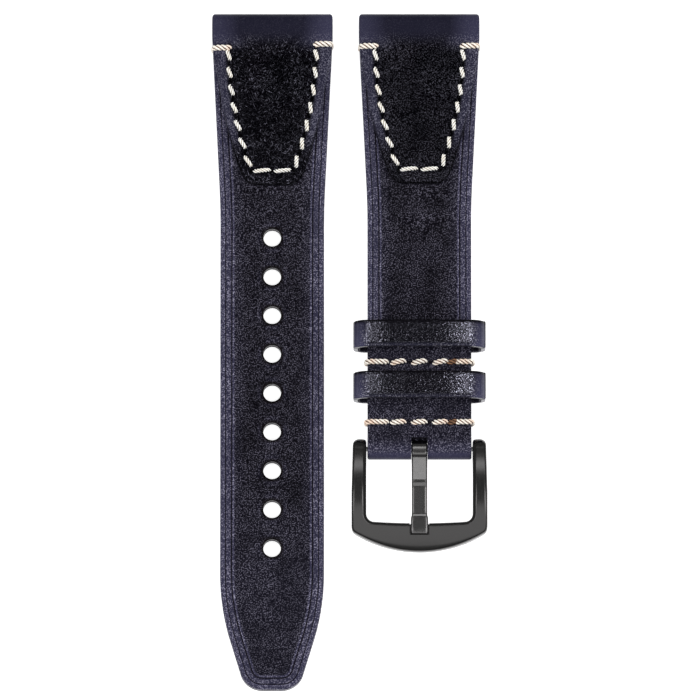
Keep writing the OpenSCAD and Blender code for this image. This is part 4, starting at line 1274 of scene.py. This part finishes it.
for node_name, material in (("spring_bar_barrel", bar_steel), ("spring_bar_tip_left", bar_steel),
                            ("spring_bar_tip_right", bar_steel), ("spring_bar_spring", bar_steel),
                            ("long_core", filler), ("short_core", filler)):
    mesh = frame["nodes"][node_name].data
    mesh.materials.clear()
    mesh.materials.append(material)


# ---- Floor, light and camera ----

# A plain white sheet: it renders white to the camera and still takes the strap's shadow.
paper, paper_tree, paper_shader, _ = new_material("white_card")
set_inputs(paper_tree, paper_shader, {"Base Color": linear("#f4f4f4"), "Roughness": 0.9})
ray = add_node(paper_tree, "ShaderNodeLightPath").outputs
looked_at = maths(paper_tree, "MAXIMUM", ray["Is Camera Ray"], ray["Is Glossy Ray"])
looked_at = maths(paper_tree, "MAXIMUM", looked_at, ray["Is Transmission Ray"])
glow = add_node(paper_tree, "ShaderNodeEmission", {"Color": (1, 1, 1, 1), "Strength": 0.75})
both = add_node(paper_tree, "ShaderNodeAddShader", {0: paper_shader.outputs[0], 1: glow.outputs[0]})
choice = add_node(paper_tree, "ShaderNodeMixShader",
                  {0: looked_at, 1: paper_shader.outputs[0], 2: both.outputs[0]})
paper_out = next(n for n in paper_tree.nodes if n.type == "OUTPUT_MATERIAL")
set_inputs(paper_tree, paper_out, {"Surface": choice.outputs[0]})

FLOOR_HALF_M, FLOOR_Z_M = 4, -0.00005
floor_mesh = bpy.data.meshes.new("floor")
floor_corners = ((-1, -1), (1, -1), (1, 1), (-1, 1))
floor_mesh.from_pydata([(x * FLOOR_HALF_M, y * FLOOR_HALF_M, FLOOR_Z_M) for x, y in floor_corners],
                       [], [(0, 1, 2, 3)])
floor_mesh.materials.append(paper)
floor = new_object("floor", floor_mesh)

world = bpy.data.worlds.new("studio")
bpy.context.scene.world = world
world.use_nodes = True
set_inputs(world.node_tree, world.node_tree.nodes["Background"], {"Color": (1, 1, 1, 1), "Strength": 0.13})


def pieces_ending(suffix):
    """A collection of the pieces whose names end so, for a light that only they take."""
    group = bpy.data.collections.new(suffix.strip("_") + "_only")
    for obj in bpy.context.scene.objects:
        if obj.name.endswith(suffix):
            group.objects.link(obj)
    return group


keeper_only, metal_only, thread_only = (pieces_ending(s) for s in ("_keeper_band", "_metal", "_thread"))
LIGHT_AWAY_M = 3.6


def softbox(name, azimuth, from_vertical, spread, radiance, seen_in_gloss=True, only=None):
    """A flat light that faces the strap. Azimuth 0 is over the lug end and 90 over the right side;
    spread is its width and height in degrees. With only, it lights just that collection of pieces."""
    data = bpy.data.lights.new(name, "AREA")
    data.shape = "RECTANGLE"
    data.size, data.size_y = (2 * LIGHT_AWAY_M * math.tan(math.radians(angle / 2)) for angle in spread)
    data.energy = radiance * math.pi * data.size * data.size_y
    obj = new_object(name, data)
    a, v = math.radians(azimuth), math.radians(from_vertical)
    obj.location = Vector((math.sin(a) * math.sin(v), math.cos(a) * math.sin(v), math.cos(v))) * LIGHT_AWAY_M
    obj.rotation_euler = obj.location.to_track_quat("Z", "Y").to_euler()
    obj.visible_glossy = seen_in_gloss
    if only:
        obj.light_linking.receiver_collection = only


softbox("back_card", 0, 16.2, (50, 7), 1.5, only=metal_only)
softbox("front_card", 180, 27, (50, 31), 0.57)
softbox("left_spot", -56, 18.2, (6, 9), 24.0, only=keeper_only)
softbox("right_spot", 56, 18.2, (6, 9), 36.0, only=keeper_only)
softbox("left_card", -112, 25, (12, 30), 1.5)
softbox("right_card", 112, 25, (12, 30), 2.0)
softbox("thread_fill", 20, 30, (40, 40), 1.9, False, only=thread_only)
softbox("left_fill", -90, 50, (50, 60), 2.2, False)
softbox("right_fill", 90, 50, (50, 60), 2.2, False)

# The camera stands 3 m away on the buckle's side, 10 degrees off vertical; 122.8 mm fill the picture.
CAMERA_AWAY_M, VIEW_W, CAMERA_TIP = 3.0, 122.8, math.radians(80)
camera_data = bpy.data.cameras.new("camera")
camera_data.sensor_width = 36
camera_data.lens = camera_data.sensor_width * CAMERA_AWAY_M / MM / VIEW_W
camera = new_object("camera", camera_data)
target = Vector((0.266, 0.5, 0)) * MM
camera.location = target + Vector((0, -math.cos(CAMERA_TIP), math.sin(CAMERA_TIP))) * CAMERA_AWAY_M
camera.rotation_euler = (math.pi / 2 - CAMERA_TIP, 0, 0)
bpy.context.scene.camera = camera
bpy.context.scene.view_settings.view_transform = "Standard"
